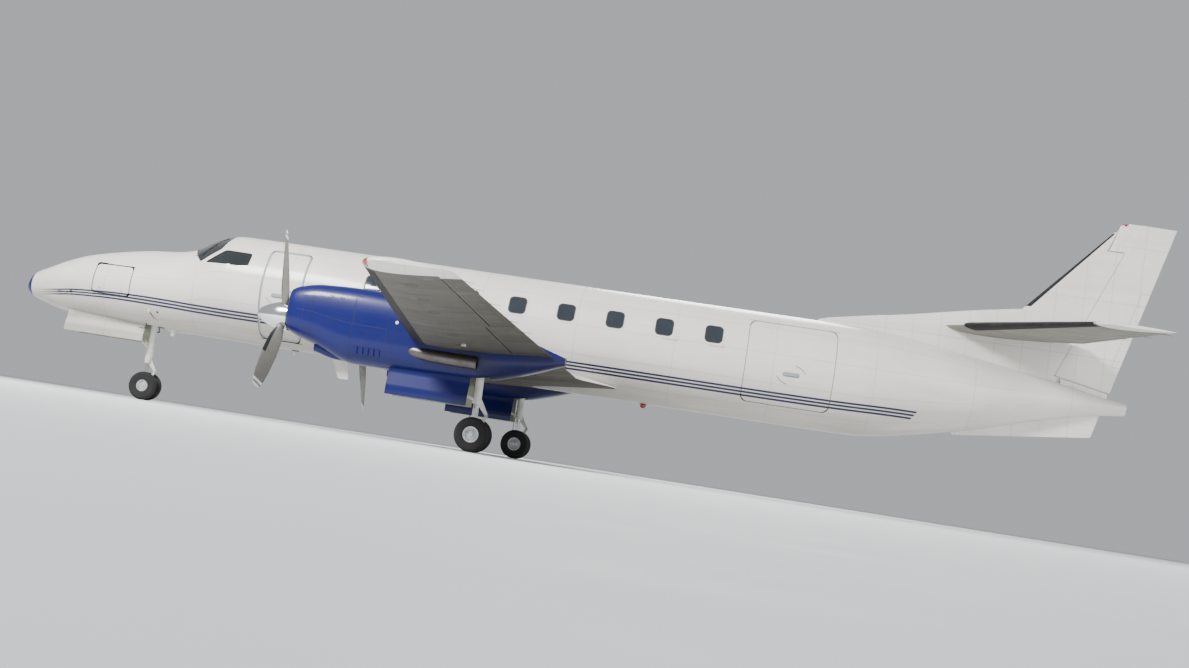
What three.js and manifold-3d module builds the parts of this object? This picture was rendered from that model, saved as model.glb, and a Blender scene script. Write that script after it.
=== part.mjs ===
// Nineteen-seat twin-turboprop commuter airliner, parked on its landing gear.
// Millimetres. +X aft, +Y starboard, +Z up. Origin on the ground, at mid length, on the centreline.
// Stations (along X) are written from the nose tip, and heights from the cabin's axis.
import * as THREE from "three";
import { mergeVertices } from "three/addons/utils/BufferGeometryUtils.js";
import Module from "manifold-3d";

const wasm = await Module();
wasm.setup();

// Driving dimensions
const LENGTH = 18090;
const AXIS_HEIGHT = 2020; // cabin axis above the ground
const GAP = 0.3; // between pieces that touch
const DOOR_GAP = 8; // round each door
const HINGE_GAP = 12; // round the rounded nose of each control surface
const END_GAP = 18; // past its ends, for the sweep and dihedral of its hinge

const CABIN_RADIUS = 855;
const SKIN = 60; // cabin wall, skin to lining
const DOOR_THICK = 60;
const FLOOR_Z = -660;
const FLOOR_THICK = 30;

const MAIN_AXLE_X = 8090;
const THRUST_Y = 2285;
const THRUST_Z = -505;
const PROP_X = 5098;
const PROP_RADIUS = 1295;
const HUB = { radius: 130, x0: 5040, x1: 5186 };
const MAIN_TYRE = { radius: 247.5, width: 170, rim: 112, spacing: 300, axle: 30 };
const NOSE_TYRE = { radius: 228.5, width: 112, rim: 92, spacing: 190, axle: 22 };
const NOSE_AXLE_X = 2262;
const NOSE_STEER_X = 2232;

const HALF_SPAN = 7050;
const TAIL_HALF_SPAN = 2430;
const TAIL_Z = 1080;
const FIN_TOP = 3060;

// Working frame to the part's frame
const toX = (station) => station - LENGTH / 2;
const toZ = (z) => z + AXIS_HEIGHT;
const vec = (station, y, z) => new THREE.Vector3(toX(station), y, toZ(z));
const mix = (a, b, t) => a + (b - a) * t;

// Solids

function solidOf(geometry) {
  const bare = geometry.index ? geometry.clone() : geometry;
  for (const name of Object.keys(bare.attributes)) {
    if (name !== "position") bare.deleteAttribute(name);
  }
  const merged = mergeVertices(bare, 1e-3);
  const index = merged.index.array;
  const triVerts = [];
  for (let i = 0; i < index.length; i += 3) {
    const [a, b, c] = [index[i], index[i + 1], index[i + 2]];
    if (a !== b && b !== c && c !== a) triVerts.push(a, b, c);
  }
  const vertProperties = merged.attributes.position.array;
  const make = (list) => new wasm.Manifold(
    new wasm.Mesh({ numProp: 3, vertProperties, triVerts: new Uint32Array(list) }),
  );
  const made = make(triVerts);
  if (made.volume() > 0) return made;
  return make(triVerts.reverse());
}

const join = (list) => list.reduce((a, b) => a.add(b));
const cut = (body, ...tools) => tools.reduce((a, b) => a.subtract(b), body);

// A ring's points in the plane it lies in, seen along the axis nearest to its normal.
function flatten(ring) {
  const normal = new THREE.Vector3();
  ring.forEach((p, i) => {
    const q = ring[(i + 1) % ring.length];
    normal.x += (p.y - q.y) * (p.z + q.z);
    normal.y += (p.z - q.z) * (p.x + q.x);
    normal.z += (p.x - q.x) * (p.y + q.y);
  });
  const drop = ["x", "y", "z"].reduce((m, n) => (Math.abs(normal[m]) >= Math.abs(normal[n]) ? m : n));
  const [u, v] = ["x", "y", "z"].filter((axis) => axis !== drop);
  const middle = ring.reduce((sum, p) => sum.add(p), new THREE.Vector3()).divideScalar(ring.length);
  return ring.map((p) => new THREE.Vector2(p[u] - middle[u], p[v] - middle[v]));
}

// A closed skin over rings of equal point counts, with flat ends.
function loft(rings) {
  const count = rings[0].length;
  const index = [];
  for (let r = 0; r + 1 < rings.length; r++) {
    for (let i = 0; i < count; i++) {
      const a = r * count + i;
      const b = r * count + ((i + 1) % count);
      index.push(a, b, b + count, a, b + count, a + count);
    }
  }
  for (const [row, last] of [[0, false], [rings.length - 1, true]]) {
    const flat = flatten(rings[row]);
    const flip = THREE.ShapeUtils.area(flat) > 0 !== last;
    const start = row * count;
    for (const [a, b, c] of THREE.ShapeUtils.triangulateShape(flat, [])) {
      if (flip) index.push(start + c, start + b, start + a);
      else index.push(start + a, start + b, start + c);
    }
  }
  return solidOf(new THREE.BufferGeometry().setFromPoints(rings.flat()).setIndex(index));
}

// An outline of (station, z) pairs, extruded from y0 to y1.
function sidePrism(outline, y0, y1) {
  const shape = new THREE.Shape(outline.map(([x, z]) => new THREE.Vector2(toX(x), toZ(z))));
  const geometry = new THREE.ExtrudeGeometry(shape, { depth: y1 - y0, bevelEnabled: false });
  return solidOf(geometry.rotateX(Math.PI / 2).translate(0, y1, 0));
}

function box(x0, x1, y0, y1, z0, z1) {
  const geometry = new THREE.BoxGeometry(x1 - x0, y1 - y0, z1 - z0);
  geometry.translate(toX((x0 + x1) / 2), (y0 + y1) / 2, toZ((z0 + z1) / 2));
  return solidOf(geometry);
}

function roundedOutline(x0, x1, z0, z1, radius) {
  const corners = [
    [x1 - radius, z1 - radius, 0], [x0 + radius, z1 - radius, 90],
    [x0 + radius, z0 + radius, 180], [x1 - radius, z0 + radius, 270],
  ];
  return corners.flatMap(([x, z, from]) => [0, 45, 90].map((step) => {
    const angle = THREE.MathUtils.degToRad(from + step);
    return [x + radius * Math.cos(angle), z + radius * Math.sin(angle)];
  }));
}

// A round rod from a to b, each [station, y, z].
function rod(a, b, radius, endRadius = radius, sides = 8) {
  const from = vec(...a);
  const to = vec(...b);
  const way = to.clone().sub(from);
  const geometry = new THREE.CylinderGeometry(endRadius, radius, way.length(), sides);
  const turn = new THREE.Quaternion().setFromUnitVectors(
    new THREE.Vector3(0, 1, 0), way.clone().normalize(),
  );
  geometry.applyQuaternion(turn);
  geometry.translate(...from.add(to).multiplyScalar(0.5).toArray());
  return solidOf(geometry);
}

// A profile of (radius, offset) turned about an axis along Y ("wheel") or X ("spinner").
function turned(profile, centre, along, sides) {
  const points = profile.map(([radius, offset]) => new THREE.Vector2(radius, offset));
  const geometry = new THREE.LatheGeometry(points, sides);
  if (along === "x") geometry.rotateZ(-Math.PI / 2);
  return solidOf(geometry.translate(...vec(...centre).toArray()));
}

const mirrorY = (solid) => solid.mirror([0, 1, 0]);

// A door's hinge along a line from a to b: knuckles in turn on the body and on the door.
const KNUCKLE = { radius: 13, half: 45, room: 1.6 };
const HINGE_PLACES = [0.3, 0.7];

function doorHinge(a, b) {
  const length = Math.hypot(b[0] - a[0], b[1] - a[1], b[2] - a[2]);
  const at = (t, off) => a.map((value, i) => mix(value, b[i], t + off / length));
  const pieces = (from, to, grow) =>
    join(HINGE_PLACES.map((t) => rod(at(t, from), at(t, to), KNUCKLE.radius + grow)));
  const { half, room } = KNUCKLE;
  return {
    onBody: (solid) => cut(solid, pieces(0, half + room, room)).add(pieces(-half, 0, 0)),
    onDoor: (solid) => cut(solid, pieces(-half - room, GAP, room)).add(pieces(GAP, half, 0)),
  };
}

// Pins that carry a hinged surface at its two ends. at(y) gives the hinge's place along the span.
const PIN = { radius: 12, reach: 26, sides: 16 };
// Room round a pin, so that its flats clear the flats of a surface that turns on it
const PIN_ROOM = 0.6;
const pin = (a, b, radius) => rod(a, b, radius, radius, PIN.sides);
const hingePins = (at, y0, y1, grow) => join([
  pin(at(y0 - END_GAP - PIN.reach), at(y0 + PIN.reach + grow), PIN.radius + grow),
  pin(at(y1 - PIN.reach - grow), at(y1 + END_GAP + PIN.reach), PIN.radius + grow),
]);

// The nodes: each solid becomes one named mesh.

const MATERIALS = {
  white_paint: { color: 0xe9e6dc, roughness: 0.35, metalness: 0.1 },
  blue_paint: { color: 0x1a3fb4, roughness: 0.2, metalness: 0.1 },
  grey_paint: { color: 0xb4b4ac, roughness: 0.5, metalness: 0.1 },
  boot_rubber: { color: 0x15161a, roughness: 0.6, metalness: 0.0 },
  glass: { color: 0x1c252c, roughness: 0.08, metalness: 0.0 },
  polished_metal: { color: 0xd0d2d4, roughness: 0.12, metalness: 1.0 },
  blade_metal: { color: 0x9a978f, roughness: 0.45, metalness: 0.4 },
  gear_paint: { color: 0xd8d8d2, roughness: 0.4, metalness: 0.2 },
  tyre: { color: 0x17181a, roughness: 0.85, metalness: 0.0 },
  wheel_metal: { color: 0xc8cacc, roughness: 0.35, metalness: 0.7 },
  cast_metal: { color: 0x6f7072, roughness: 0.6, metalness: 0.7 },
  lining: { color: 0xa9a398, roughness: 0.9, metalness: 0.0 },
  seat_cover: { color: 0x3a3f48, roughness: 0.9, metalness: 0.0 },
};

const group = new THREE.Group();

function addNode(name, solid, material) {
  const made = solid.getMesh();
  const geometry = new THREE.BufferGeometry();
  geometry.setAttribute("position", new THREE.BufferAttribute(made.vertProperties, 3));
  geometry.setIndex(new THREE.BufferAttribute(made.triVerts, 1));
  geometry.computeVertexNormals();
  const mesh = new THREE.Mesh(geometry, new THREE.MeshStandardMaterial(MATERIALS[material]));
  mesh.name = name;
  group.add(mesh);
}

// The two sides of the aircraft: like pieces are made for port and mirrored to starboard.
function addPair(name, portSolid, material) {
  addNode(`${name}_port`, portSolid, material);
  addNode(`${name}_starboard`, mirrorY(portSolid), material);
}

// Fuselage: round sections [station, centre height, radius]
const BODY_SIDES = 28;
const FACET = Math.cos(Math.PI / BODY_SIDES); // a flat side's distance, as a share of the radius
const BODY_SECTIONS = [
  [0, -463, 30], [40, -440, 112], [120, -417, 195], [350, -394, 297], [650, -356, 411],
  [1000, -306, 496], [1500, -256, 567], [2000, -224, 626], [2500, -200, 659], [2780, -160, 690],
  [3000, -98, 750], [3250, -34, 816], [3500, 0, 849], [4000, 0, CABIN_RADIUS],
  [12900, 0, CABIN_RADIUS], [13500, 0, 845], [14000, 10, 800], [14500, 30, 718],
  [15000, 50, 622], [15500, 80, 525], [16100, 128, 383], [16700, 165, 255],
  [17200, 172, 150], [17620, 172, 92],
];

function bodyAt(station) {
  const last = BODY_SECTIONS.findIndex(([x]) => x >= station);
  const [x1, z1, r1] = BODY_SECTIONS[Math.max(last, 1)];
  const [x0, z0, r0] = BODY_SECTIONS[Math.max(last, 1) - 1];
  const t = (station - x0) / (x1 - x0);
  return { z: mix(z0, z1, t), radius: mix(r0, r1, t) };
}

function ringX(station, z, radius, sides = BODY_SIDES) {
  return Array.from({ length: sides }, (_, i) => {
    const angle = (2 * Math.PI * i) / sides;
    return vec(station, radius * Math.cos(angle), z + radius * Math.sin(angle));
  });
}

// The body between two stations, grown (or shrunk) by an offset.
function bodySolid(from, to, offset) {
  const inside = BODY_SECTIONS.map(([x]) => x).filter((x) => x > from && x < to);
  const rings = [from, ...inside, to].map((x) => {
    const at = bodyAt(x);
    return ringX(x, at.z, at.radius + offset);
  });
  return loft(rings);
}

const SECTION_JOINTS = { nose: 140, cockpit: 2700, front: 4080, mid: 5000, rear: 11600, tail: 13160 };
const BODY_END = 17620;
const seam = (station) => station + GAP;
const interior = (from, to) => bodySolid(from, to, -SKIN - GAP);
const hullShell = (from, to, skin) =>
  cut(bodySolid(seam(from), to, 0), bodySolid(from - 1, to + 1, -skin));

// Doors: side outlines on the skin, and how far each reaches
const AIRSTAIR = { x0: 4160, x1: 4820, z0: -750, z1: 635, radius: 90 };
const CARGO = { x0: 11770, x1: 13100, z0: -600, z1: 640, radius: 110 };
const NOSE_DOOR = { x0: 1320, x1: 1960, z0: -430, z1: 30, radius: 60 };
const NOSE_DOOR_GAP = 14; // its hinge slants with the nose, so it swings a little forwards
const NOSE_DOOR_THICK = 25;

// The hinge line of a door: on the skin, just outside its lower or upper edge.
function hingeLine(door, z) {
  const side = (x) => -Math.sqrt((bodyAt(x).radius * FACET) ** 2 - (z - bodyAt(x).z) ** 2);
  return [[door.x0, side(door.x0), z], [door.x1, side(door.x1), z]];
}
const airstairHinge = doorHinge(...hingeLine(AIRSTAIR, AIRSTAIR.z0 - DOOR_GAP / 2));
const cargoHinge = doorHinge(...hingeLine(CARGO, CARGO.z1 + DOOR_GAP / 2));
const noseDoorHinge = doorHinge(...hingeLine(NOSE_DOOR, NOSE_DOOR.z1 + NOSE_DOOR_GAP / 2));

// A door's own outline, or its hole: wider all round, most at the corners, where the door swings past.
const doorHole = ({ x0, x1, z0, z1, radius }, grow, y0, y1) => sidePrism(
  roundedOutline(x0 - grow, x1 + grow, z0 - grow, z1 + grow, radius - 1.5 * grow), y0, y1,
);
const doorPanel = (door, from, to) => cut(
  bodySolid(from, to, 0), bodySolid(from - 1, to + 1, -DOOR_THICK),
).intersect(doorHole(door, 0, -1000, 0));

// Wing: straight tapered panels with dihedral. y is measured outboard from the centreline.
const WING_LE = { root: 6900, slope: 0.0741 };
const WING_TE = { root: 9280, slope: -0.1452 };
const WING_ROOT_Y = 850;
const WING_Z = { at: 800, z: -680, slope: 0.0885 };
const wingLE = (y) => WING_LE.root + WING_LE.slope * (y - WING_ROOT_Y);
const wingTE = (y) => WING_TE.root + WING_TE.slope * (y - WING_ROOT_Y);
const wingZ = (y) => WING_Z.z + WING_Z.slope * (Math.max(y, 0) - WING_Z.at);
const WING_THICK = 0.15;
const FLAP_HINGE = 0.76;
const AILERON_HINGE = 0.805;

const CHORD_STEPS = [0, 0.012, 0.06, 0.16, 0.32, 0.52, 0.76, 1];
const TE_BLUNT = 0.0022;

// Half thickness of a wing-like section at chord fraction f, as a share of the chord.
const halfThick = (f, thick) => 5 * thick * (0.2969 * Math.sqrt(f) - 0.126 * f
  - 0.3516 * f ** 2 + 0.2843 * f ** 3 - 0.1036 * f ** 4) + TE_BLUNT * f;
const camberAt = (f, camber) => camber * 4 * f * (1 - f);

// A closed ring: over the top from leading to trailing edge, back below. across(u, w) places it.
function sectionRing(le, te, thick, camber, across) {
  const chord = te - le;
  const top = CHORD_STEPS.map((f) => [f, camberAt(f, camber) + halfThick(f, thick)]);
  const low = CHORD_STEPS.slice(1).reverse()
    .map((f) => [f, camberAt(f, camber) - halfThick(f, thick)]);
  return [...top, ...low].map(([f, h]) => across(le + f * chord, h * chord));
}

const WING_CAMBER = 0.012;
// Stations along the span [y, leading edge, trailing edge, thickness share]
const WING_STATIONS = [
  [GAP / 2, 6560, 9900, 0.11], [560, 6640, 9860, 0.11], [930, wingLE(930), wingTE(930), WING_THICK],
  [3900, wingLE(3900), wingTE(3900), WING_THICK], [6790, wingLE(6790), wingTE(6790), 0.145],
  [6930, 7400, wingTE(6930), 0.125], [HALF_SPAN, 7620, wingTE(HALF_SPAN), 0.06],
];

const wingRing = (y, le, te, thick, grow = 0) => sectionRing(
  le - grow, te + grow, thick + (2 * grow) / (te - le), WING_CAMBER,
  (x, h) => vec(x, -y, wingZ(y) + h),
);
const wingBlank = (grow) => loft(
  WING_STATIONS.map(([y, le, te, thick]) => wingRing(y, le, te, thick, grow)),
);

// A surface hinged along a line: a round nose on the hinge, and the section's own tail behind it.
const NOSE_ARC = [90, 126, 162, 198, 234, 270];

function hingedRing(le, te, thick, camber, hinge, across) {
  const chord = te - le;
  const radius = halfThick(hinge, thick) * chord;
  const mid = camberAt(hinge, camber) * chord;
  const hingeX = le + hinge * chord;
  const nose = NOSE_ARC.map((deg) => {
    const a = THREE.MathUtils.degToRad(deg);
    return across(hingeX + radius * Math.cos(a), mid + radius * Math.sin(a));
  });
  const tailSteps = [mix(hinge, 1, 0.5), 1];
  const low = tailSteps.map((f) => across(le + f * chord,
    (camberAt(f, camber) - halfThick(f, thick)) * chord));
  const top = [...tailSteps].reverse().map((f) => across(le + f * chord,
    (camberAt(f, camber) + halfThick(f, thick)) * chord));
  return [...nose, ...low, ...top];
}

// The room a hinged surface needs: its round nose grown by a gap, open to the rear.
function coveRing(le, te, thick, camber, hinge, gap, across) {
  const chord = te - le;
  const radius = halfThick(hinge, thick) * chord + gap;
  const mid = camberAt(hinge, camber) * chord;
  const hingeX = le + hinge * chord;
  const nose = NOSE_ARC.map((deg) => {
    const a = THREE.MathUtils.degToRad(deg);
    return across(hingeX + radius * Math.cos(a), mid + radius * Math.sin(a));
  });
  return [...nose, across(te + 60, mid - radius), across(te + 60, mid + radius)];
}
// Room that a flap's lower skin needs below its hinge when it swings down.
function lipRing(le, te, thick, camber, hinge, gap, across) {
  const chord = te - le;
  const radius = halfThick(hinge, thick) * chord + gap;
  const mid = camberAt(hinge, camber) * chord;
  const hingeX = le + hinge * chord;
  return LIP_ROOM.map(([forward, down]) => across(hingeX - forward * radius, mid - down * radius));
}
const LIP_ROOM = [[0.6, 1.4], [-0.3, 1.4], [-0.3, 0.9], [0.42, 0.86]];

const wingAcross = (y) => (x, h) => vec(x, -y, wingZ(y) + h);
const wingThick = (y) => mix(WING_THICK, 0.145, Math.max(0, (y - 3900) / 2890));
const wingSurface = (y0, y1, hinge) => loft([y0, y1].map((y) => hingedRing(
  wingLE(y), wingTE(y), wingThick(y), WING_CAMBER, hinge, wingAcross(y))));
const wingRoom = (ring, y0, y1, hinge) => loft([y0 - END_GAP, y1 + END_GAP].map((y) => ring(
  wingLE(y), wingTE(y), wingThick(y), WING_CAMBER, hinge, HINGE_GAP, wingAcross(y))));
const wingCove = (y0, y1, hinge) => {
  const cove = wingRoom(coveRing, y0, y1, hinge);
  return hinge === FLAP_HINGE ? join([cove, wingRoom(lipRing, y0, y1, hinge)]) : cove;
};

// Surfaces on each wing [name, inboard y, outboard y, hinge share]
const WING_SURFACES = [
  ["flap_inboard", 1010, 1870, FLAP_HINGE],
  ["flap_outboard", 2710, 4290, FLAP_HINGE],
  ["aileron", 4400, 6680, AILERON_HINGE],
];

// Nacelle: rounded sections [station, top, bottom, half width]
const NACELLE_SECTIONS = [
  [5205, -90, -700, 300], [5300, -50, -745, 330], [5630, 20, -850, 360], [6230, 45, -1040, 375],
  [6940, 15, -1040, 375], [7940, -130, -1020, 355], [8600, -300, -860, 280], [9230, -500, -620, 120],
];
const NACELLE_SKIN = 35;
const NACELLE_CORNER = 0.62; // how square the section is
const NACELLE_SIDES = 16;

function nacelleRing([station, top, bottom, half], shrink) {
  const height = (top - bottom) / 2 - shrink;
  const width = half - shrink;
  return Array.from({ length: NACELLE_SIDES }, (_, i) => {
    const a = (2 * Math.PI * i) / NACELLE_SIDES;
    const bulge = (v) => Math.sign(v) * Math.abs(v) ** NACELLE_CORNER;
    return vec(station, -THRUST_Y + width * bulge(Math.cos(a)),
      (top + bottom) / 2 + height * bulge(Math.sin(a)));
  });
}

const INTAKE = { half: 170, z0: -245, z1: -130, depth: 260 };
const MAIN_WELL = { x0: 6760, x1: 8230, half: 215, top: -600 };
const SCOOP = { x0: 5640, x1: 6500, half: 150, low: -945 };

// Engine: a plain block where the real mass is, with its shaft and exhaust duct
const ENGINE = { x0: 5640, x1: 6740, half: 265, z0: -790, z1: -150 };
const EXHAUST_PATH = [[6700, 2430, -640], [7000, 2545, -735], [7500, 2640, -780], [8050, 2690, -790]];
const EXHAUST_RADIUS = 92;
const EXHAUST_SIDES = 10;

function ductAlong(radius) {
  const points = EXHAUST_PATH.map(([x, y, z]) => vec(x, -y, z));
  const path = new THREE.CatmullRomCurve3(points);
  const ring = Array.from({ length: EXHAUST_SIDES }, (_, i) => {
    const a = (2 * Math.PI * i) / EXHAUST_SIDES;
    return new THREE.Vector2(radius * Math.cos(a), radius * Math.sin(a));
  });
  const options = { extrudePath: path, steps: 5, bevelEnabled: false };
  return solidOf(new THREE.ExtrudeGeometry(new THREE.Shape(ring), options));
}

// Fin and rudder
const FIN_SLOPE = (17100 - 15900) / (2840 - 1500);
const finLE = (z) => 15900 + (z - 1500) * FIN_SLOPE;
const RUDDER_HINGE = { x: 16450, z: 350, slope: (17340 - 16450) / (2530 - 350) };
const hingeXAt = (z) => RUDDER_HINGE.x + (z - RUDDER_HINGE.z) * RUDDER_HINGE.slope;
const RUDDER_TE = { x: 17340, z: 310, slope: (18090 - 17340) / (3060 - 310) };
const rudderTE = (z) => RUDDER_TE.x + (z - RUDDER_TE.z) * RUDDER_TE.slope;
const finHalf = (z) => mix(80, 46, (z - 300) / 2760); // half thickness near the hinge

// Rudder's upper horn, ahead of the hinge
const HORN = { z: 2600, frontLow: 17080, frontTop: 17262 };

const finRing = (le, te, half, z) => [
  [le, 0.06], [mix(le, te, 0.05), 0.42], [mix(le, te, 0.2), 0.85], [mix(le, te, 0.45), 1.1],
  [te, 1], [te, -1], [mix(le, te, 0.45), -1.1], [mix(le, te, 0.2), -0.85],
  [mix(le, te, 0.05), -0.42], [le, -0.06],
].map(([x, w]) => vec(x, w * half, z));

// Tailplane and elevators
const TAIL_LE = { x: 14740, slope: 0.73 };
const TAIL_TE = { x: 16800, slope: 0.263 };
const tailLE = (y) => TAIL_LE.x + TAIL_LE.slope * y;
const tailTE = (y) => TAIL_TE.x + TAIL_TE.slope * y;
const TAIL_THICK = 0.09;
const ELEVATOR_HINGE = 0.765;
const ELEVATOR = { y0: 150, y1: 2290 };
const TAIL_CENTRE_END = 16420;
const TAIL_STATIONS = [
  [0, 14740, 16800, TAIL_THICK], [2280, tailLE(2280), tailTE(2280), TAIL_THICK],
  [TAIL_HALF_SPAN, tailLE(2430) + 130, tailTE(2430), 0.05],
];
const tailRing = (y, le, te, thick, side, grow) => sectionRing(le - grow, te + grow,
  thick + (2 * grow) / (te - le), 0, (x, h) => vec(x, side * y, TAIL_Z + h));
const tailBlank = (grow) => loft([
  ...TAIL_STATIONS.slice(1).reverse().map(([y, le, te, t]) => tailRing(y, le, te, t, -1, grow)),
  ...TAIL_STATIONS.map(([y, le, te, t]) => tailRing(y, le, te, t, 1, grow)),
]);
const elevatorRing = (y, ring, ...rest) => ring(tailLE(y), tailTE(y), TAIL_THICK, 0,
  ELEVATOR_HINGE, ...rest, (x, h) => vec(x, -y, TAIL_Z + h));

// Landing gear
const mainWheelZ = MAIN_TYRE.radius - AXIS_HEIGHT;
const noseWheelZ = NOSE_TYRE.radius - AXIS_HEIGHT;
const WHEEL_SIDES = 20;

function tyreSolid(tyre, centre) {
  const half = tyre.width / 2;
  const profile = [
    [tyre.rim + GAP, -half * 0.78], [tyre.radius * 0.78, -half], [tyre.radius, -half * 0.5],
    [tyre.radius, half * 0.5], [tyre.radius * 0.78, half], [tyre.rim + GAP, half * 0.78],
  ];
  return turned([...profile, profile[0]], centre, "y", WHEEL_SIDES);
}

// The axle along Y, or the room for it, whose flats clear the axle's as it turns.
const AXLE_SIDES = 16;
const AXLE_ROOM = 1;
const axle = (tyre, [x, y, z], reach, grow) => rod(
  [x, y - reach, z], [x, y + reach, z], tyre.axle + grow, tyre.axle + grow, AXLE_SIDES,
);

// A pair of rims on one axle that turns with them.
function hubSolid(tyre, centre) {
  const [x, y, z] = centre;
  const half = tyre.width / 2;
  const rim = (side) => turned([
    [0, -half * 0.4], [tyre.rim * 0.6, -half * 0.3], [tyre.rim * 0.9, -half * 0.76],
    [tyre.rim, -half * 0.76], [tyre.rim, half * 0.76], [tyre.rim * 0.9, half * 0.76],
    [tyre.rim * 0.6, half * 0.3], [0, half * 0.4],
  ], [x, y + (side * tyre.spacing) / 2, z], "y", WHEEL_SIDES);
  const reach = tyre.spacing / 2;
  return join([rim(-1), rim(1), axle(tyre, centre, reach, 0)]);
}

// Fuselage sections

const airstairHole = doorHole(AIRSTAIR, DOOR_GAP, -1000, 0);
const cargoHole = doorHole(CARGO, DOOR_GAP, -1000, 0);
const noseDoorHole = doorHole(NOSE_DOOR, NOSE_DOOR_GAP, -800, 0);

const NOSE_WELL = { x0: 840, x1: 2480, half: 230, top: -560 };
const noseWell = box(NOSE_WELL.x0, NOSE_WELL.x1, -NOSE_WELL.half, NOSE_WELL.half, -1000, NOSE_WELL.top);
const BAGGAGE_BAY = { x0: 1300, x1: 1980, z0: -440, z1: 60 };
const baggageBay = box(BAGGAGE_BAY.x0, BAGGAGE_BAY.x1, -470, 470, BAGGAGE_BAY.z0, BAGGAGE_BAY.z1);

const jackPad = (x, y, z0, z1) => rod([x, y, z1], [x, y, z0], 40, 40, 16);

// The nose is closed structure round the baggage bay and the wheel well.
function noseSection() {
  const body = cut(bodySolid(seam(SECTION_JOINTS.nose), SECTION_JOINTS.cockpit, 0), noseWell, baggageBay);
  const portDone = noseDoorHinge.onBody(cut(body, noseDoorHole));
  const bothDone = mirrorY(noseDoorHinge.onBody(mirrorY(cut(portDone, mirrorY(noseDoorHole)))));
  return bothDone.add(jackPad(2600, 330, -800, -700));
}

// Cockpit glass: side outlines of the wrap-round windscreen and of the side window
const WINDSCREEN = [[2800, 500], [3060, 275], [3350, 530], [3420, 800], [3380, 830], [2810, 520]];
const WINDSCREEN_POST = 28;
const SIDE_WINDOW = [[3150, 275], [3880, 290], [3885, 520], [3440, 525]];
const GLASS_THICK = 22;

const shrinkOutline = (outline, by) => {
  const cx = outline.reduce((a, [x]) => a + x, 0) / outline.length;
  const cz = outline.reduce((a, [, z]) => a + z, 0) / outline.length;
  return outline.map(([x, z]) => {
    const away = Math.hypot(x - cx, z - cz);
    return [x - ((x - cx) * by) / away, z - ((z - cz) * by) / away];
  });
};
const bothSides = (outline, inner) => [
  sidePrism(outline, -1000, -inner), sidePrism(outline, inner, 1000),
];
const glassSkin = cut(bodySolid(2720, 4060, -6), bodySolid(2719, 4061, -6 - GLASS_THICK));
const glassPane = (outline, inner) =>
  glassSkin.intersect(sidePrism(shrinkOutline(outline, 2 * GAP), -1000, -inner - GAP));

const cockpitSection = () => cut(
  hullShell(SECTION_JOINTS.cockpit, SECTION_JOINTS.front, SKIN),
  ...bothSides(WINDSCREEN, WINDSCREEN_POST), ...bothSides(SIDE_WINDOW, 300),
);
const forwardBulkhead = () => {
  const at = bodyAt(2760);
  return loft([ringX(2720, bodyAt(2720).z, bodyAt(2720).radius - SKIN + 20),
    ringX(2760, at.z, at.radius - SKIN + 20)]);
};

const frontSection = () => airstairHinge.onBody(
  cut(hullShell(SECTION_JOINTS.front, SECTION_JOINTS.mid, SKIN), airstairHole));
const BELLY_AERIAL = [[5210, -830], [5480, -830], [5560, -1190], [5390, -1190]];
const midSection = () => join([
  hullShell(SECTION_JOINTS.mid, SECTION_JOINTS.rear, SKIN), sidePrism(BELLY_AERIAL, -9, 9),
]);
const rearSection = () => cargoHinge.onBody(
  cut(hullShell(SECTION_JOINTS.rear, SECTION_JOINTS.tail, SKIN), cargoHole));

// Tail cone with its pressure bulkhead, stinger and the fin below it
const VENTRAL = [[15050, -500], [15080, -600], [17150, -330], [17250, 40], [17000, 120]];
const VENTRAL_HALF = 22;
const TAIL_SKIN = 30;
const TAIL_HOLLOW_END = 17000;
const BULKHEAD = 50;
const RUDDER_PIN_RADIUS = 16;
const rudderPin = (radius, z0, z1) => pin([hingeXAt(z0), 0, z0], [hingeXAt(z1), 0, z1], radius);
const tailSection = () => join([
  cut(bodySolid(seam(SECTION_JOINTS.tail), BODY_END, 0),
    bodySolid(SECTION_JOINTS.tail + BULKHEAD, TAIL_HOLLOW_END, -TAIL_SKIN),
    rod([SECTION_JOINTS.tail - 50, 0, 0], [SECTION_JOINTS.tail + 100, 0, 0], 160)),
  cut(sidePrism(VENTRAL, -VENTRAL_HALF, VENTRAL_HALF), bodySolid(14900, 17500, -TAIL_SKIN)),
  rudderPin(RUDDER_PIN_RADIUS, 380, 620),
  jackPad(14300, 0, -740, -600),
]);

addNode("nose_cap", bodySolid(0, SECTION_JOINTS.nose, 0), "blue_paint");
addNode("nose_section", noseSection(), "white_paint");
addNode("cockpit_section", join([cockpitSection(), forwardBulkhead()]), "white_paint");
addNode("cabin_front_section", frontSection(), "white_paint");
addNode("cabin_mid_section", midSection(), "white_paint");
addNode("cabin_rear_section", rearSection(), "white_paint");
addNode("tail_section", tailSection(), "white_paint");
addPair("windscreen", glassPane(WINDSCREEN, WINDSCREEN_POST), "glass");
addPair("side_window", glassPane(SIDE_WINDOW, 300), "glass");

// Interior: floor, instrument panel and the pilots' seats
const stepRecess = box(AIRSTAIR.x0 - 20, AIRSTAIR.x1 + 20, -900, -250, -900, -500);
const floorSlab = cut(
  box(3000, SECTION_JOINTS.tail - 20, -900, 900, FLOOR_Z - FLOOR_THICK, FLOOR_Z)
    .intersect(interior(2780, SECTION_JOINTS.tail - 10)),
  stepRecess,
);
addNode("cabin_floor", floorSlab, "lining");

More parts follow.
